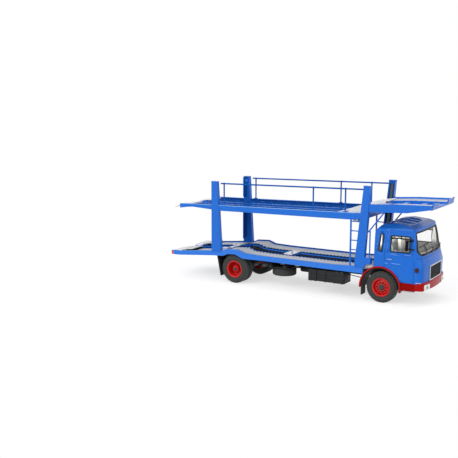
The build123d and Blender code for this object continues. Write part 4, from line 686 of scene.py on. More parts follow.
class TRANSPORTER_OT_wheel_fittings(bpy.types.Operator):
    """Make the rim lips, the hub caps and the holes of the front wheels"""

    bl_idname = "transporter.wheel_fittings"
    bl_label = "Wheel fittings"

    def execute(self, context):
        sizes = context.scene.transporter_wheels
        edge = half_track - LIP_BACK
        lip = [(edge + out, sizes.rim_radius + rise) for out, rise in RIM_LIP]
        for name, axle, body in (("front", front_axle, FRONT_WHEELS), ("rear", rear_axle, REAR_WHEELS)):
            bm = bmesh.new()
            turned(bm, lip, Vector((axle.x, 0.0, axle.z)))
            both_sides(bm)
            add_piece(f"{name}_rim_lips", bm, "wheel_red", body=body)

        face = high("front_rims").y - HUB_BACK
        add_caps("front_hub_caps", face, sizes.hub_radius, FRONT_CAP, FRONT_CAP_TOP, front_axle,
                 FRONT_WHEELS, 48)

        bm = bmesh.new()
        add_ring(bm, HOLES, face, sizes)
        add_ring(bm, MARKS, face, sizes)
        add_piece("front_wheel_holes", bm, "chassis_black", "line", FRONT_WHEELS)

        face = min(high("rear_rims").y, half_track - REAR_HUB_BACK)
        add_caps("rear_hub_caps", face, REAR_CAP_RADIUS, REAR_CAP, REAR_CAP_TOP, rear_axle, REAR_WHEELS, 40)
        return {"FINISHED"}


# ---- cab
# Cab, in millimetres where nothing else is said
LEAN_FROM = 31.0  # the cab's front is upright below this height
LEAN_RATE = 8.6 / 28.3  # and leans back by so much for each millimetre above it
FRONT = 35.0  # of the cab, in its plan
FRONT_BULGE = 1.2  # by which it would fall back at the cab's sides, without rounded corners
CAB_HALF = 28.0
CORNER_Y = 23.0  # where the arcs of its corners begin
CORNER_RADIUS = 5.0
# How far the screen runs round: share of its wrap by height, and by distance from the middle
WIDEN_BY_HEIGHT = ((33.0, 0.0), (38.5, 1.0), (42.0, 1.0), (48.0, 0.66), (57.3, 0.0))
WIDEN_BY_SIDE = ((10.0, 0.0), (24.6, 1.0), (CAB_HALF, 0.0))
DRAW_MIDDLE = 0.6  # how far the front is drawn back in the middle
DRAW_CORNER = 1.6  # and how much more at the sides
# Share of this by height
DRAW_BY_HEIGHT = ((22.0, 1.0), (40.0, 0.75), (50.0, 0.3), (60.0, 0.0))
CUT_STEP = 0.0015  # metres between the planes that cut the cab up so that it can bend
CUT_X = (0.018, 0.036)  # where they lie, in metres forward of the front axle
CUT_Z = (0.019, 0.060)  # and in height
WIPER_SHIFT = Vector((-0.0006, 0.0, 0.0013))  # in metres
SEAL_SWELL = 0.07  # of all window seals
SEAL_RISE = 0.25  # more for the screen's, up and down
# Where these fade in, forward of the front axle; the first two are measured as if the front didn't lean
WRAP_ZONE = (25.0, 29.0)
DRAW_ZONE = (20.0, 34.0)
SEAL_ZONE = (24.0, 27.0)
MIRROR_FRONT = 25.0  # the mirrors' arms end here
# Cab parts that share the rounded front: node, finish
CAB_PARTS = (("cab_shell", "cab_paint"), ("window_seals", "seal_rubber"),
             ("cab_glazing", "clear_glass"), ("grille_frame", "silver_trim"),
             ("grille", "line"), ("wipers", "seal_rubber"), ("mirrors", "line"),
             ("side_lamps", "lamp_amber"), ("dashboard", "cab_interior"),
             ("cab_floor", "cab_interior"))


def plan_front(y):
    """Front of the cab's plan at a distance from its middle."""
    if y < CORNER_Y:
        return FRONT - FRONT_BULGE * (y / (CORNER_Y + CORNER_RADIUS)) ** 2
    start = FRONT - FRONT_BULGE * (CORNER_Y / (CORNER_Y + CORNER_RADIUS)) ** 2 - CORNER_RADIUS
    return start + max(0.0, CORNER_RADIUS ** 2 - (y - CORNER_Y) ** 2) ** 0.5


def round_front(bm, sizes):
    """Draws the screen round the cab's corners and draws the corners back."""
    for vert in bm.verts:
        x, y, z = (vert.co - Vector((front_axle.x, 0.0, 0.0))) / MM
        side = abs(y)
        plan = x + max(0.0, z - LEAN_FROM) * LEAN_RATE
        wrap = sizes.screen_wrap / MM * follow(z, WIDEN_BY_HEIGHT) * follow(side, WIDEN_BY_SIDE)
        out = max(side, min(CAB_HALF, side + wrap * between(plan, *WRAP_ZONE)))
        x += plan_front(min(out, CAB_HALF)) - plan_front(min(side, CAB_HALF))
        back = DRAW_MIDDLE + DRAW_CORNER * (out / CAB_HALF) ** 3
        x -= back * follow(z, DRAW_BY_HEIGHT) * between(plan, *DRAW_ZONE)
        vert.co = at(x, out if y > 0 else -out, z)


def cut_up(bm, step, lowest, highest):
    """Cuts the mesh along planes a step apart so that it can bend, between two corners."""
    for axis in range(3):
        normal = Vector((0.0, 0.0, 0.0))
        normal[axis] = 1.0
        count = int((highest[axis] - lowest[axis]) / step)
        for row in range(1, count):
            place = lowest + normal * (row * step)
            bmesh.ops.bisect_plane(bm, geom=bm.verts[:] + bm.edges[:] + bm.faces[:], dist=WELD,
                                   plane_co=place, plane_no=normal)


class TRANSPORTER_OT_cab(bpy.types.Operator):
    """Make the cab with rounded front corners and a screen that runs round them"""

    bl_idname = "transporter.cab"
    bl_label = "Cab"

    def execute(self, context):
        trim = context.scene.transporter_trim
        slots = {part["node"]: part["material_slot"] for part in frame["record"]["subparts"]}
        lowest = Vector((front_axle.x + CUT_X[0], -cab_side, CUT_Z[0]))
        highest = Vector((front_axle.x + CUT_X[1], cab_side, CUT_Z[1]))
        for node, finish in CAB_PARTS:
            bm = copied(node)
            cut_up(bm, CUT_STEP, lowest, highest)
            round_front(bm, trim)
            bm.normal_update()
            for vert in bm.verts:
                if node == "wipers":
                    vert.co += WIPER_SHIFT
                elif node == "window_seals":
                    front = between((vert.co.x - front_axle.x) / MM, *SEAL_ZONE)
                    vert.co += vert.normal * SEAL_SWELL * MM
                    vert.co.z += vert.normal.z * SEAL_RISE * front * MM
                elif node == "mirrors":
                    vert.co.x = min(vert.co.x, front_axle.x + MIRROR_FRONT * MM)
            piece = add_piece(f"{node}_rounded", bm, slots[node], finish, turn_out=False)
            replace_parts(piece, node)
        return {"FINISHED"}


# Boxes, as add_blocks takes them
WINDOW_BARS = (((7.2, 23.2), (-27.75, -26.9), (51.75, 52.35), 0.1),
               ((15.4, 15.9), (-27.6, -26.8), (52.2, 54.0), 0.1),
               ((22.6, 25.6), (-29.0, -27.6), (51.9, 52.7), 0.15),
               ((22.6, 25.9), (-29.0, -27.6), (44.3, 45.2), 0.15))
PULL_HANDLES = (((4.4, 8.8), (-28.55, -27.9), (35.2, 35.9), 0.2),)
# Painted highlights as thin pale bars along the pressed panel edges: first x, last x, z, y
PANEL_HIGHLIGHTS = ((7.9, 12.2, 39.9, -28.02), (18.6, 23.4, 39.8, -28.02), (3.6, 6.6, 57.9, -27.0),
               (2.8, 5.6, 32.1, -28.02), (8.4, 15.6, 32.3, -28.02))
PANEL_HIGHLIGHT_RADIUS = 0.20
PANEL_HIGHLIGHT_RISES = (0.3, 0.2)  # of their ends, above z
WIRE_BACK = 0.0007  # of the wires, in metres behind the grille's front
WIRE_DEPTH = 0.0003


class TRANSPORTER_OT_cab_trim(bpy.types.Operator):
    """Make the window bars, mirror mounts, painted highlights along the pressed panel edges, door handles
    and the grille's wires
    """

    bl_idname = "transporter.cab_trim"
    bl_label = "Cab trim"

    def execute(self, context):
        trim = context.scene.transporter_trim
        add_blocks("window_bars", WINDOW_BARS, "seal_rubber", "gloss_black", mirrored=True)

        bm = bmesh.new()
        for x0, x1, z, y in PANEL_HIGHLIGHTS:
            bend = at((x0 + x1) / 2, y, z)
            rod(bm, at(x0, y, z + PANEL_HIGHLIGHT_RISES[0]), bend, PANEL_HIGHLIGHT_RADIUS * MM, segments=10)
            rod(bm, bend, at(x1, y, z + PANEL_HIGHLIGHT_RISES[1]), PANEL_HIGHLIGHT_RADIUS * MM, segments=10)
        both_sides(bm)
        add_piece("panel_highlights", bm, "blue_paint", "highlight_blue")

        piece = add_blocks("pull_handles", PULL_HANDLES, "silver_trim", "handle_grey", mirrored=True)
        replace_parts(piece, "door_handles")

        start = low("grille")
        end = high("grille")
        bm = bmesh.new()
        count = int((end.y - start.y) / trim.wire_pitch)
        for step in range(1, count):
            y = start.y + step * (end.y - start.y) / count
            cube(bm, (end.x - WIRE_BACK, y, (start.z + end.z) / 2), (WIRE_DEPTH, trim.wire, end.z - start.z))
        add_piece("grille_wires", bm, "chassis_black", "hub_grey")
        return {"FINISHED"}


# Bumper, in millimetres
BUMPER_REACH = 24.3  # of its curved front to each side
BUMPER_CORNER = 4.0  # radius of its ends
BUMPER_END = 26.6  # where its sides stop, forward of the front axle
BUMPER_STEPS = 14  # straight pieces in half its front
BUMPER_END_STEPS = 8
BUMPER_THICKNESS = 1.4
BUMPER_EDGE = 0.28
BUMPER_JOINT = 13.4  # from the middle to the joints in its face
JOINT_HALF = 0.12  # half of a joint's width
JOINT_FROM, JOINT_TO = -0.6, 0.03  # how far it reaches, forward of the bumper's face
PLUG_PLACE = (1.4, 2.6)  # of the round plug in its face: y, height above its lower edge
PLUG_RADIUS = 0.5
LAMP_ANGLE = radians(9.5)
LAMP_SIZE = (1.0, 9.2, 4.4)
LAMP_EDGE = 0.30
LAMP_BACK = 0.22  # of a headlamp's middle, behind the bumper's face
LAMP_RISE = 2.25  # above the bumper's lower edge
LAMP_FACE = 0.45  # of a headlamp's rounds, forward of its middle
# Rounds on a headlamp: name, depth, radius, radius at the tip, segments, slot, finish
LAMP_ROUNDS = (("headlamp_rims", 0.22, 1.25, 1.1, 32, "silver_trim", "ring_grey"),
               ("headlamp_lenses", 0.34, 0.85, 0.75, 32, "lamp_clear", None),
               ("headlamp_bulbs", 0.42, 0.50, 0.50, 16, "chassis_black", "hub_grey"))
SKIRT_LOW = 12.2  # lower edge of the skirts
STEP_RISE = 2.5  # of the cab's steps, above those in the solids
TREAD_BACK = 0.6  # of the bumper's treads, behind those in the solids
TREAD_BOTTOM = 17.8  # their underside in the solids, which comes to lie on the bumper
# Copies of CAD nodes: node, name, slot, finish
# The skirts are painted in the darker red: painted shade
LOW_PARTS = (("side_skirts", "skirts", "red_paint", "shaded_red"),
             ("cab_steps", "entry_steps", "track_grey", None),
             ("bumper_steps", "bumper_treads", "silver_trim", None))


def add_bumper_bar(front, arc, bottom, top):
    """Adds the curved bar of the bumper, all in millimetres."""
    bend = asin(BUMPER_REACH / arc)
    bm = bmesh.new()
    start = bm.verts.new(at(front, 0.0, bottom))
    made = bmesh.ops.spin(bm, geom=[start], cent=at(front - arc, 0.0, bottom), axis=(0.0, 0.0, 1.0),
                          angle=-bend, steps=BUMPER_STEPS, use_merge=False, use_duplicate=False)
    last = made["geom_last"][0]
    towards = Vector((-cos(bend), sin(bend), 0.0)) * BUMPER_CORNER * MM
    made = bmesh.ops.spin(bm, geom=[last], cent=last.co + towards, axis=(0.0, 0.0, 1.0),
                          angle=bend - pi / 2, steps=BUMPER_END_STEPS, use_merge=False, use_duplicate=False)
    made = bmesh.ops.extrude_vert_indiv(bm, verts=[made["geom_last"][0]])
    made["verts"][0].co.x = front_axle.x + BUMPER_END * MM
    made = bmesh.ops.extrude_edge_only(bm, edges=bm.edges[:])
    lifted = [item for item in made["geom"] if isinstance(item, bmesh.types.BMVert)]
    bmesh.ops.translate(bm, verts=lifted, vec=(0.0, 0.0, (top - bottom) * MM))
    both_sides(bm, merge=1e-6)
    bmesh.ops.recalc_face_normals(bm, faces=bm.faces[:])
    bmesh.ops.solidify(bm, geom=bm.faces[:], thickness=BUMPER_THICKNESS * MM)
    rims = [e for e in bm.edges if len(e.link_faces) == 2 and e.calc_face_angle(0.0) > radians(60)]
    round_edges(bm, rims, BUMPER_EDGE * MM, segments=3)
    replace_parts(add_piece("bumper_bar", bm, "red_paint"), "front_bumper")


def add_headlamps(x, y, z):
    """Adds both headlamps, the right one at a place in millimetres."""
    bm = bmesh.new()
    cube(bm, at(x, y, z), mm(*LAMP_SIZE), Matrix.Rotation(-LAMP_ANGLE, 4, "Z"), LAMP_EDGE * MM)
    both_sides(bm)
    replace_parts(add_piece("headlamp_blocks", bm, "lamp_clear"), "headlamps")
    outward = Vector((cos(LAMP_ANGLE), -sin(LAMP_ANGLE), 0.0))
    face = at(x, y, z) + outward * LAMP_FACE * MM
    for name, depth, radius, tip, segments, slot, finish in LAMP_ROUNDS:
        bm = bmesh.new()
        rod(bm, face, face + outward * depth * MM, radius * MM, tip=tip * MM, segments=segments)
        both_sides(bm)
        add_piece(name, bm, slot, finish)


class TRANSPORTER_OT_bumper(bpy.types.Operator):
    """Make the bumper with its joints and lamps, the skirts behind it and the steps"""

    bl_idname = "transporter.bumper"
    bl_label = "Bumper"

    def execute(self, context):
        trim = context.scene.transporter_trim
        bottom = trim.bumper_low / MM
        top = trim.bumper_high / MM
        front = trim.bumper_front / MM
        arc = trim.bumper_radius / MM
        add_bumper_bar(front, arc, bottom, top)
        brackets = (((27.0, front - 1.2), (-9.4, -7.4), (bottom + 2.0, top - 0.8), 0.2),)
        add_blocks("bumper_brackets", brackets, "chassis_black", mirrored=True)

        bm = bmesh.new()
        face = front - BUMPER_JOINT ** 2 / (2 * arc)
        block(bm, (face + JOINT_FROM, face + JOINT_TO),
              (-BUMPER_JOINT - JOINT_HALF, -BUMPER_JOINT + JOINT_HALF), (bottom + 0.1, top - 0.1))
        both_sides(bm)
        y, rise = PLUG_PLACE
        rod(bm, at(front - 0.5, y, bottom + rise), at(front + 0.04, y, bottom + rise), PLUG_RADIUS * MM)
        add_piece("bumper_joints", bm, "red_paint", "shaded_red")

        lamp = trim.lamp_out / MM
        add_headlamps(front - lamp ** 2 / (2 * arc) - LAMP_BACK, -lamp, bottom + LAMP_RISE)

        lower = low("side_skirts").z
        upper = high("side_skirts").z
        for node, name, slot, finish in LOW_PARTS:
            bm = copied(node)
            for vert in bm.verts:
                if node == "side_skirts":
                    part = (vert.co.z - lower) / (upper - lower)
                    vert.co.z = (SKIRT_LOW + part * (top - SKIRT_LOW)) * MM
                elif node == "cab_steps":
                    vert.co.z += STEP_RISE * MM
                else:
                    vert.co.z += (top - TREAD_BOTTOM) * MM
                    vert.co.x -= TREAD_BACK * MM
            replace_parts(add_piece(name, bm, slot, finish, turn_out=False), node)
        return {"FINISHED"}


# ---- decks
# Decks, in millimetres. Top edges of their side beams: x from the front axle and z
LOWER_DECK = ((-197.4, 22.5), (-188.0, 22.9), (-155.0, 26.2), (-143.8, 27.1), (-140.0, 28.8), (-128.5, 29.4),
              (-121.8, 27.0), (-106.5, 26.4), (-42.4, 26.0), (-14.0, 26.9))
UPPER_DECK = ((-187.7, 66.2), (-176.0, 66.6), (-154.7, 66.9), (-143.7, 67.1), (-26.3, 69.4), (-22.5, 69.45))
# Paths of the floor behind the rear axle, the black strip of painted shade in the gap between the tracks
# before it, the upper deck's runners and its soles
TAIL_FLOOR = (*LOWER_DECK[1:5], (-134.0, 29.1))
SHADE_TROUGH = ((-134.0, 29.1), *LOWER_DECK[5:9], (-37.0, 26.15))
RUNNER_SECTION = (0.8, 1.8, -0.9)  # width, height, lift
RUNNERS = ((-178.0, 65.0), (-154.7, 65.3), (-143.7, 65.5), (-26.3, 67.8), (-24.0, 67.6))
SOLES = ((-154.7, 62.9), (-26.3, 64.6), (-22.5, 64.7))
NOTCH_FROM = -184.0  # first notch in the tracks' inner edges
NOTCH_SPAN = 170  # the length that they take up
NOTCH_PITCH = 3.2
NOTCH_SIZE = (1.6, 2.6, 0.6)
NOTCH_Y = 9.3
NOTCH_RISE = 0.1  # of their middles, above the tracks
TRACK_EDGE_Y = 9.4  # where the tracks' height is read for them
BRIDGES = ((-91.0, 8.0), (-147.5, 3.6))  # plates across the middle gap: x, length
BRIDGE_SIDES = (16.4, 0.7)  # their width and thickness
BRIDGE_RISE = 0.25  # of their middles, above the beams
PLATE_EDGE = 0.1
BRIDGE_BEAM_Y = 7.35  # where the height of the beams under them is read
BAR_SIZE = (1.1, 17.0, 0.5)  # of the slanted bars on them
BAR_RISE = 0.65
BAR_TURN = radians(28)
TAIL_PLATE = (-152.5, 9.6, 26.6)  # small plates behind the rear axle: x, y, z
TAIL_PLATE_SIZE = (5.2, 4.6, 0.6)
# Boxes, as add_blocks takes them
FLAP_RESTS = (((-184.0, -177.3), (-25.0, -9.5), (23.3, 25.5), 0.1),)
LADDER_HOOKS = (*(((x, x + 0.8), (-28.4, -24.6), (62.9, 65.0), 0.15) for x in (-24.0, -22.8, -21.6, -20.4)),
                ((-24.2, -19.4), (-27.6, -24.8), (63.6, 65.2), 0.1))
WHEEL_CHOCKS = (((-14.2, -6.8), (-26.4, -19.0), (26.4, 29.3), 0.4),)
RAILING_SWELL = 0.13  # of the railings, on all sides
RAILING_POSTS = (-142.7, -58.8, -31.0)  # x of their uprights
RAILING_Y = 27.6
DECK_EDGE_Y = 28.0  # where the deck's height is read for their feet
FOOT_SIZE = (2.2, 1.5, 1.0)  # of the blocks at the railings' feet
FOOT_EDGE = 0.25
FOOT_RISE = 0.4  # of their middles, above the deck
SOCKET = (0.6, 2.0)  # the round sockets on them, above the deck
SOCKET_RADII = (0.75, 0.5)


class TRANSPORTER_OT_lower_deck(bpy.types.Operator):
    """Make the notched track edges, the curbs, the floor between the tracks and the bridge plates; the
    notches, a strip inside each curb, the inner beams' tops, the floor and the gap between the tracks are
    painted shade, the curbs and their edges painted light
    """

    bl_idname = "transporter.lower_deck"
    bl_label = "Lower deck"

    def execute(self, context):
        track = surface("lower_deck_tracks")
        beam = surface("lower_deck_frame")
        bm = bmesh.new()
        # Dark blue blocks along the tracks' inner edges: painted shade in the notches
        for step in range(int(NOTCH_SPAN / NOTCH_PITCH)):
            x = at(NOTCH_FROM + step * NOTCH_PITCH, 0.0, 0.0).x
            for side in (-1, 1):
                height = track(x, side * TRACK_EDGE_Y * MM)
                if height is not None:
                    cube(bm, (x, side * NOTCH_Y * MM, height + NOTCH_RISE * MM), mm(*NOTCH_SIZE))
        # A dark blue strip inside each curb, on the side beams: painted shade
        strip(bm, LOWER_DECK, 27.5, 0.9, 1.2, 0.05)
        add_piece("track_notches", bm, "blue_paint", "shaded_blue")
        # Very dark strips along the inner beams' tops: painted shade
        add_strips("beam_top_shade", [(LOWER_DECK[1:], 7.3, 1.75, 0.3, -0.12)], finish="deep_shade_blue")
        # Curbs on the side beams, in the lighter blue of painted light
        add_strips("deck_curbs", [(LOWER_DECK, 28.45, 1.05, 0.8, 0.25)], finish="lit_beam_blue")
        add_highlight("curb_highlights", LOWER_DECK, 28.68, 0.48)
        # Floor between the tracks behind the rear axle, in a darker blue: painted shade
        add_strips("tail_floor", [(TAIL_FLOOR, 0.0, 12.9, 0.8, -0.9)], finish="mid_shade_blue")
        add_blocks("flap_rests", FLAP_RESTS, "chassis_black", "line", mirrored=True)
        # A black strip low in the gap between the tracks: painted shade
        add_strips("deck_gap_shade", [(SHADE_TROUGH, 0.0, 12.8, 1.6, -2.3)], "chassis_black", "line")

        bm = bmesh.new()
        bars = bmesh.new()
        for place, length in BRIDGES:
            x = at(place, 0.0, 0.0).x
            height = beam(x, BRIDGE_BEAM_Y * MM)
            if height is None:
                continue
            cube(bm, (x, 0.0, height + BRIDGE_RISE * MM), mm(length, *BRIDGE_SIDES), edge=PLATE_EDGE * MM)
            cube(bars, (x, 0.0, height + BAR_RISE * MM), mm(*BAR_SIZE), Matrix.Rotation(BAR_TURN, 4, "Z"))
        x, y, z = TAIL_PLATE
        for side in (-1, 1):
            cube(bm, at(x, side * y, z), mm(*TAIL_PLATE_SIZE), edge=PLATE_EDGE * MM)
        add_piece("bridge_plates", bm, "track_grey", "flap_white")
        add_piece("bridge_bars", bars, "blue_paint")
        return {"FINISHED"}


class TRANSPORTER_OT_upper_deck(bpy.types.Operator):
    """Make the upper deck's lengthwise runners, painted highlights along its edges, the ladder hooks, the
    chocks and the railings; the runners, a strip on the side beams' inner faces and the railings are painted
    shade
    """

    bl_idname = "transporter.upper_deck"
    bl_label = "Upper deck"

    def execute(self, context):
        # The runners are darker copies of the blue: painted shade
        add_strips("deck_runners", [(RUNNERS, y, *RUNNER_SECTION) for y in (4.6, 9.0, 17.8, 0.0)],
                   finish="mid_shade_blue")
        # Runners in deeper painted shade, and a strip of painted shade on the side beams' inner faces
        inner = [(RUNNERS, y, *RUNNER_SECTION) for y in (13.4, 22.2)]
        add_strips("deck_runners_shaded", [*inner, (UPPER_DECK, 26.95, 0.12, 1.7, -1.0)],
                   finish="shaded_blue")
        add_strips("deck_soles", [(SOLES, 28.1, 1.7, 0.8, -0.25)])
        add_highlight("deck_highlights", UPPER_DECK, 28.75, -0.12, 0.30)
        add_blocks("ladder_hooks", LADDER_HOOKS, "track_grey", mirrored=True)
        add_blocks("wheel_chocks", WHEEL_CHOCKS, "track_grey", "flap_white", mirrored=True)

        # The railings, thickened, in a darker blue: painted shade
        bm = copied("railings")
        bmesh.ops.recalc_face_normals(bm, faces=bm.faces[:])
        bm.normal_update()
        for vert in bm.verts:
            vert.co += vert.normal * RAILING_SWELL * MM
        piece = add_piece("thick_railings", bm, "blue_paint", "mid_shade_blue", turn_out=False)
        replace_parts(piece, "railings")

        bm = bmesh.new()
        top = surface("upper_deck_frame")
        for x in RAILING_POSTS:
            for side in (-1, 1):
                foot = at(x, side * RAILING_Y, 0.0)
                height = top(foot.x, side * DECK_EDGE_Y * MM)
                if height is not None:
                    cube(bm, (foot.x, foot.y, height + FOOT_RISE * MM), mm(*FOOT_SIZE), edge=FOOT_EDGE * MM)
                    ends = [(foot.x, foot.y, height + rise) for rise in mm(*SOCKET)]
                    rod(bm, *ends, *mm(*SOCKET_RADII), segments=12)
        add_piece("railing_feet", bm, "blue_paint")
        return {"FINISHED"}


REAR_AXLE = -133.0  # from the front axle, as all here in millimetres
# Dark webs inside the rear posts, painted shade, behind the rear axle: end of the web, z range of the web, z
# range of its lip
POST_WEBS = ((17.6, (30.0, 62.0), (29.8, 62.0)), (17.8, (68.6, 86.6), (68.6, 86.9)))
WEB_FROM = 20.9
WEB_SIDES = (25.25, 25.62)  # its faces, from the middle
LIP_FROM = 21.7
LIP_SIDES = (24.6, 25.7)
BOSS_PLACE = (18.2, 84.0)  # at the posts' heads: behind the rear axle, z
BOSS_SIDES = (25.7, 25.1)
BOSS_RADII = (1.3, 1.1)
LINING_GAP = 0.06  # of the thin sheets of painted shade on the posts' inner faces, off those faces
LINING_THICKNESS = 0.04
INWARD = -0.9  # faces whose normal points outwards by more than this get no lining


def across(side, faces):
    """Range of y between two distances from the middle, on one side."""
    return sorted(side * y for y in faces)


class TRANSPORTER_OT_post_details(bpy.types.Operator):
    """Make the webs, lips and bosses inside the rear posts, and thin sheets over the inner faces of all
    posts; the webs and the sheets are painted shade
    """

    bl_idname = "transporter.post_details"
    bl_label = "Post details"

    def execute(self, context):
        bm = bmesh.new()
        rims = bmesh.new()
        for side in (-1, 1):
            for end, web, lip in POST_WEBS:
                block(bm, (REAR_AXLE - WEB_FROM, REAR_AXLE - end), across(side, WEB_SIDES), web, 0.05)
                block(rims, (REAR_AXLE - LIP_FROM, REAR_AXLE - WEB_FROM), across(side, LIP_SIDES), lip, 0.1)
            back, z = BOSS_PLACE
            ends = [at(REAR_AXLE - back, side * y, z) for y in BOSS_SIDES]
            rod(rims, *ends, *mm(*BOSS_RADII), segments=24)
        add_piece("post_webs", bm, "blue_paint", "shaded_blue")
        for node in ("front_posts", "rear_posts"):
            bm = copied(node)
            bm.normal_update()
            others = []
            for face in bm.faces:
                y = face.calc_center_median().y
                if face.normal.y * y > INWARD * abs(y):
                    others.append(face)
            bmesh.ops.delete(bm, geom=others, context="FACES")
            for vert in bm.verts:
                vert.co.y -= (LINING_GAP * MM if vert.co.y > 0 else -LINING_GAP * MM)
            bmesh.ops.solidify(bm, geom=bm.faces[:], thickness=LINING_THICKNESS * MM)
            add_piece(f"{node}_shade_sheets", bm, "blue_paint", "mid_shade_blue")
        add_piece("post_bosses", rims, "blue_paint")
        return {"FINISHED"}


# ---- under the decks
# In millimetres. Boxes, as add_blocks takes them
SPARE_CARRIER = (((-101.0, -82.0), (-22.6, -9.0), (16.3, 17.7), 0.4),
                 ((-99.5, -97.0), (-26.5, -9.0), (17.6, 20.0), 0.3),
                 ((-86.0, -83.5), (-26.5, -9.0), (17.6, 20.4), 0.3))
TANK_STRAPS = (*(((x, x + 1.0), (-28.15, -14.0), (10.95, 20.75), 0.2)
                 for x in (-60.6, -55.8, -47.6, -39.6, -33.0)),
               ((-62.2, -30.5), (-28.05, -27.6), (15.2, 15.7), 0.15))
TANK_CLIPS = (*(((x, x + 1.6), (-28.2, -26.4), (19.9, 20.9), 0.2) for x in (-37.6, -33.4)),
              ((-30.75, -30.4), (-26.6, -15.6), (12.4, 19.6), 0.15))
WING_STAY_ENDS = (-30.0, -18.6)
WING_STAYS = ((-20.0, 18.1, 16.7, 0.35), (-17.0, 17.2, 15.9, 0.30))  # y, first z, last z, radius
BRAKE_POTS = (-121.5, -113.0)
BRAKE_POT_Y = 11.6
# Rods of a brake pot: first x and z, last x and z, radius, segments
BRAKE_POT_RODS = ((0.0, 15.6, 3.4, 16.8, 1.8, 24), (3.3, 16.75, 4.4, 17.1, 1.1, 16))
HITCH_RISE = 2.4  # of the tow hitch, above the one in the solids


class TRANSPORTER_OT_running_gear(bpy.types.Operator):
    """Make the spare wheel's carrier, the tank's straps and clips, wing stays, brake pots and tow hitch"""

    bl_idname = "transporter.running_gear"
    bl_label = "Running gear"

    def execute(self, context):
        add_blocks("spare_carrier", SPARE_CARRIER, "chassis_black")
        add_blocks("tank_straps", TANK_STRAPS, "chassis_black", "gloss_black")
        add_blocks("tank_clips", TANK_CLIPS, "silver_trim", "hub_grey")

        bm = bmesh.new()
        for y, first, last, radius in WING_STAYS:
            rod(bm, at(WING_STAY_ENDS[0], y, first), at(WING_STAY_ENDS[1], y, last), radius * MM,
                segments=12)
        add_piece("wing_stays", bm, "chassis_black", "gloss_black")

        bm = bmesh.new()
        for side in (-1, 1):
            y = side * BRAKE_POT_Y
            for x in BRAKE_POTS:
                for x0, z0, x1, z1, radius, segments in BRAKE_POT_RODS:
                    rod(bm, at(x + x0, y, z0), at(x + x1, y, z1), radius * MM, segments=segments)
        add_piece("brake_pots", bm, "chassis_black", "pot_grey")

        bm = copied("tow_coupling")
        bmesh.ops.translate(bm, verts=bm.verts[:], vec=(0.0, 0.0, HITCH_RISE * MM))
        piece = add_piece("tow_hitch", bm, "chassis_black", turn_out=False)
        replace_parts(piece, "tow_coupling")
        return {"FINISHED"}


# ---- stage
SENSOR_WIDTH = 36.0  # of the camera, in millimetres
VIEW_LIMIT = 20.0  # the camera sees no farther, in metres
CAB_LAMP_PLACE = (6.0, -6.0, 53.0)  # from the front axle, in millimetres
CAB_LAMP_RADIUS = 0.006
FLOOR_HALF = 3.0  # half of its side, in metres
FLOOR_GREY = (0.50, 0.50, 0.50, 1.0)
FLOOR_SQUASH = (1.0, 1.5, 1.0)
FLOOR_FADE = (0.12, 0.30)  # the floor turns plain white between these distances, after the squash
LAMP_TARGET = (0.0, 0.0, 0.04)
# Soft lamps: name, place, width, height, watts
LAMPS = (("key_light", (-0.45, -1.10, 0.75), 1.0, 0.8, 10.0),
         ("front_light", (1.20, -0.55, 0.60), 0.8, 0.8, 5.0),
         ("top_light", (0.10, 0.25, 1.20), 1.2, 0.8, 3.0),
         ("strip_light", (0.55, -0.95, 0.62), 0.06, 0.5, 1.2))


def add_lamp(name, place, width, height, power):
    """Adds one large soft lamp that points at the truck."""
    lamp = bpy.data.lights.new(name, "AREA")
    lamp.shape = "RECTANGLE"
    lamp.size = width
    lamp.size_y = height
    lamp.energy = power
    made = add_object(name, lamp)
    made.location = place
    made.rotation_euler = (Vector(LAMP_TARGET) - Vector(place)).to_track_quat("-Z", "Y").to_euler()


def seen_directly(tree):
    """Output that is 1 where the camera, a reflection or a pane looks straight at the surface."""
    path = add_node(tree, "ShaderNodeLightPath")
    total = path.outputs["Is Camera Ray"]
    for name in ("Is Glossy Ray", "Is Transmission Ray"):
        total = add_node(tree, "ShaderNodeMath", [(0, total), (1, path.outputs[name])],
                         {"operation": "MAXIMUM"}).outputs[0]
    return total


def blend(tree, factor, first, second):
    """Mixes two shaders by a factor."""
    return add_node(tree, "ShaderNodeMixShader", [(0, factor), (1, first), (2, second)]).outputs[0]


def make_world(strength):
    """Even light from all round that shows as plain white."""
    world = bpy.data.worlds.new("studio")
    world.use_nodes = True
    tree = world.node_tree
    tree.nodes.clear()
    light = add_node(tree, "ShaderNodeBackground", Strength=strength, Color=WHITE)
    white = add_node(tree, "ShaderNodeBackground", Strength=1.0, Color=WHITE)
    mixed = blend(tree, seen_directly(tree), light.outputs[0], white.outputs[0])
    add_node(tree, "ShaderNodeOutputWorld", [("Surface", mixed)])
    bpy.context.scene.world = world


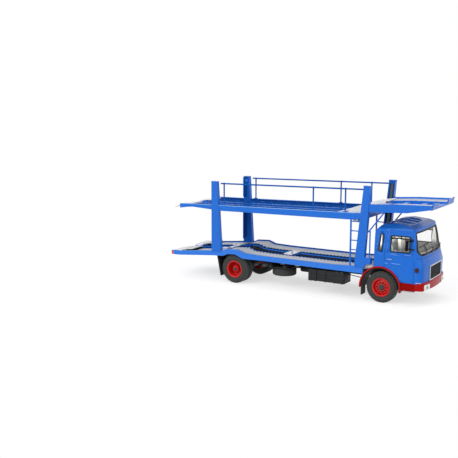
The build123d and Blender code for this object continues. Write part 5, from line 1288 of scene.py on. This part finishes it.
def make_floor(glow):
    """Plain pale floor that keeps the truck's shadow and fades to white away from it."""
    bm = bmesh.new()
    bmesh.ops.create_grid(bm, x_segments=1, y_segments=1, size=FLOOR_HALF)
    mesh = bpy.data.meshes.new("floor")
    bm.to_mesh(mesh)
    bm.free()
    floor = add_object("floor", mesh)
    material = bpy.data.materials.new("floor_finish")
    material.use_nodes = True
    tree = material.node_tree
    tree.nodes.clear()

    def emit(strength):
        return add_node(tree, "ShaderNodeEmission", Strength=strength).outputs[0]

    paint = add_node(tree, "ShaderNodeBsdfDiffuse", Color=FLOOR_GREY)
    seen = seen_directly(tree)
    own = blend(tree, seen, emit(0.0), emit(glow))
    near = add_node(tree, "ShaderNodeAddShader", [(0, paint.outputs[0]), (1, own)])
    place = add_node(tree, "ShaderNodeTexCoord").outputs["Object"]
    squash = add_node(tree, "ShaderNodeMapping", [("Vector", place)], Scale=FLOOR_SQUASH)
    length = add_node(tree, "ShaderNodeVectorMath", [(0, squash.outputs["Vector"])], {"operation": "LENGTH"})
    fade = add_node(tree, "ShaderNodeMapRange", [("Value", length.outputs["Value"])],
                    {"interpolation_type": "SMOOTHSTEP"}, From_Min=FLOOR_FADE[0], From_Max=FLOOR_FADE[1])
    both = add_node(tree, "ShaderNodeMath", [(0, fade.outputs["Result"]), (1, seen)],
                    {"operation": "MULTIPLY"})
    mixed = blend(tree, both.outputs[0], near.outputs[0], emit(1.0))
    add_node(tree, "ShaderNodeOutputMaterial", [("Surface", mixed)])
    mesh.materials.append(material)


class TRANSPORTER_OT_stage(bpy.types.Operator):
    """Set up the camera, the soft light and the pale floor"""

    bl_idname = "transporter.stage"
    bl_label = "Stage"

    def execute(self, context):
        stage = context.scene.transporter_stage
        camera = bpy.data.cameras.new("camera")
        camera.lens = stage.lens
        camera.sensor_width = SENSOR_WIDTH
        camera.clip_end = VIEW_LIMIT
        made = add_object("camera", camera)
        made.location = Vector((front_axle.x, 0.0, 0.0)) + Vector(stage.camera_from_axle)
        made.rotation_euler = stage.camera_turn
        context.scene.camera = made
        make_world(stage.sky)
        make_floor(stage.floor_glow)
        for lamp in LAMPS:
            add_lamp(*lamp)
        cab = bpy.data.lights.new("cab_light", "POINT")
        cab.energy = stage.cab_light
        cab.shadow_soft_size = CAB_LAMP_RADIUS
        add_object("cab_light", cab).location = at(*CAB_LAMP_PLACE)
        context.scene.view_settings.view_transform = "Standard"
        return {"FINISHED"}


# Nodes whose finish isn't their slot's; the railings and lattice get a darker blue, painted shade, and the
# lower deck's frame a lighter blue, painted light
OWN_FINISHES = {"lift_rams": "ram_grey", "steering_wheel": "line", "railings": "mid_shade_blue",
                "upper_deck_lattice": "mid_shade_blue", "lower_deck_frame": "lit_beam_blue",
                "lower_rear_flaps": "flap_white", "upper_rear_flaps": "flap_white",
                "transition_ramps": "flap_white"}


class TRANSPORTER_OT_finishes(bpy.types.Operator):
    """Make the materials and give every part of the model its own"""

    bl_idname = "transporter.finishes"
    bl_label = "Finishes"

    def execute(self, context):
        make_finishes(context.scene.transporter_colours)
        for part in frame["record"]["subparts"]:
            name = OWN_FINISHES.get(part["node"], part["material_slot"])
            for holder in nodes[part["node"]].material_slots:
                holder.material = bpy.data.materials[f"{name}_finish"]
        return {"FINISHED"}


# ---- panel and registration
OPERATORS = (
    TRANSPORTER_OT_finishes,
    TRANSPORTER_OT_tyres,
    TRANSPORTER_OT_wheel_fittings,
    TRANSPORTER_OT_cab,
    TRANSPORTER_OT_cab_trim,
    TRANSPORTER_OT_bumper,
    TRANSPORTER_OT_lower_deck,
    TRANSPORTER_OT_upper_deck,
    TRANSPORTER_OT_post_details,
    TRANSPORTER_OT_running_gear,
    TRANSPORTER_OT_stage,
)


GROUPS = (
    ("transporter_colours", TransporterColours),
    ("transporter_wheels", TransporterWheels),
    ("transporter_trim", TransporterTrim),
    ("transporter_stage", TransporterStage),
)


class TRANSPORTER_PT_panel(bpy.types.Panel):
    """Steps that dress the car transporter"""

    bl_idname = "TRANSPORTER_PT_panel"
    bl_label = "Car Transporter"
    bl_space_type = "VIEW_3D"
    bl_region_type = "UI"
    bl_category = "Transporter"

    def draw(self, context):
        for group, _ in GROUPS:
            settings = getattr(context.scene, group)
            for name in settings.bl_rna.properties.keys():
                if name not in ("rna_type", "name"):
                    self.layout.prop(settings, name)
        for operator in OPERATORS:
            self.layout.operator(operator.bl_idname)


def register():
    for name, group in GROUPS:
        bpy.utils.register_class(group)
        setattr(bpy.types.Scene, name, bpy.props.PointerProperty(type=group))
    for operator in OPERATORS:
        bpy.utils.register_class(operator)
    bpy.utils.register_class(TRANSPORTER_PT_panel)


def unregister():
    bpy.utils.unregister_class(TRANSPORTER_PT_panel)
    for operator in reversed(OPERATORS):
        bpy.utils.unregister_class(operator)
    for name, group in reversed(GROUPS):
        delattr(bpy.types.Scene, name)
        bpy.utils.unregister_class(group)


def main():
    """Dresses the model."""
    register()
    bpy.ops.transporter.finishes()
    bpy.ops.transporter.tyres()
    bpy.ops.transporter.wheel_fittings()
    bpy.ops.transporter.cab()
    bpy.ops.transporter.cab_trim()
    bpy.ops.transporter.bumper()
    bpy.ops.transporter.lower_deck()
    bpy.ops.transporter.upper_deck()
    bpy.ops.transporter.post_details()
    bpy.ops.transporter.running_gear()
    bpy.ops.transporter.stage()


if __name__ == "__main__":
    main()
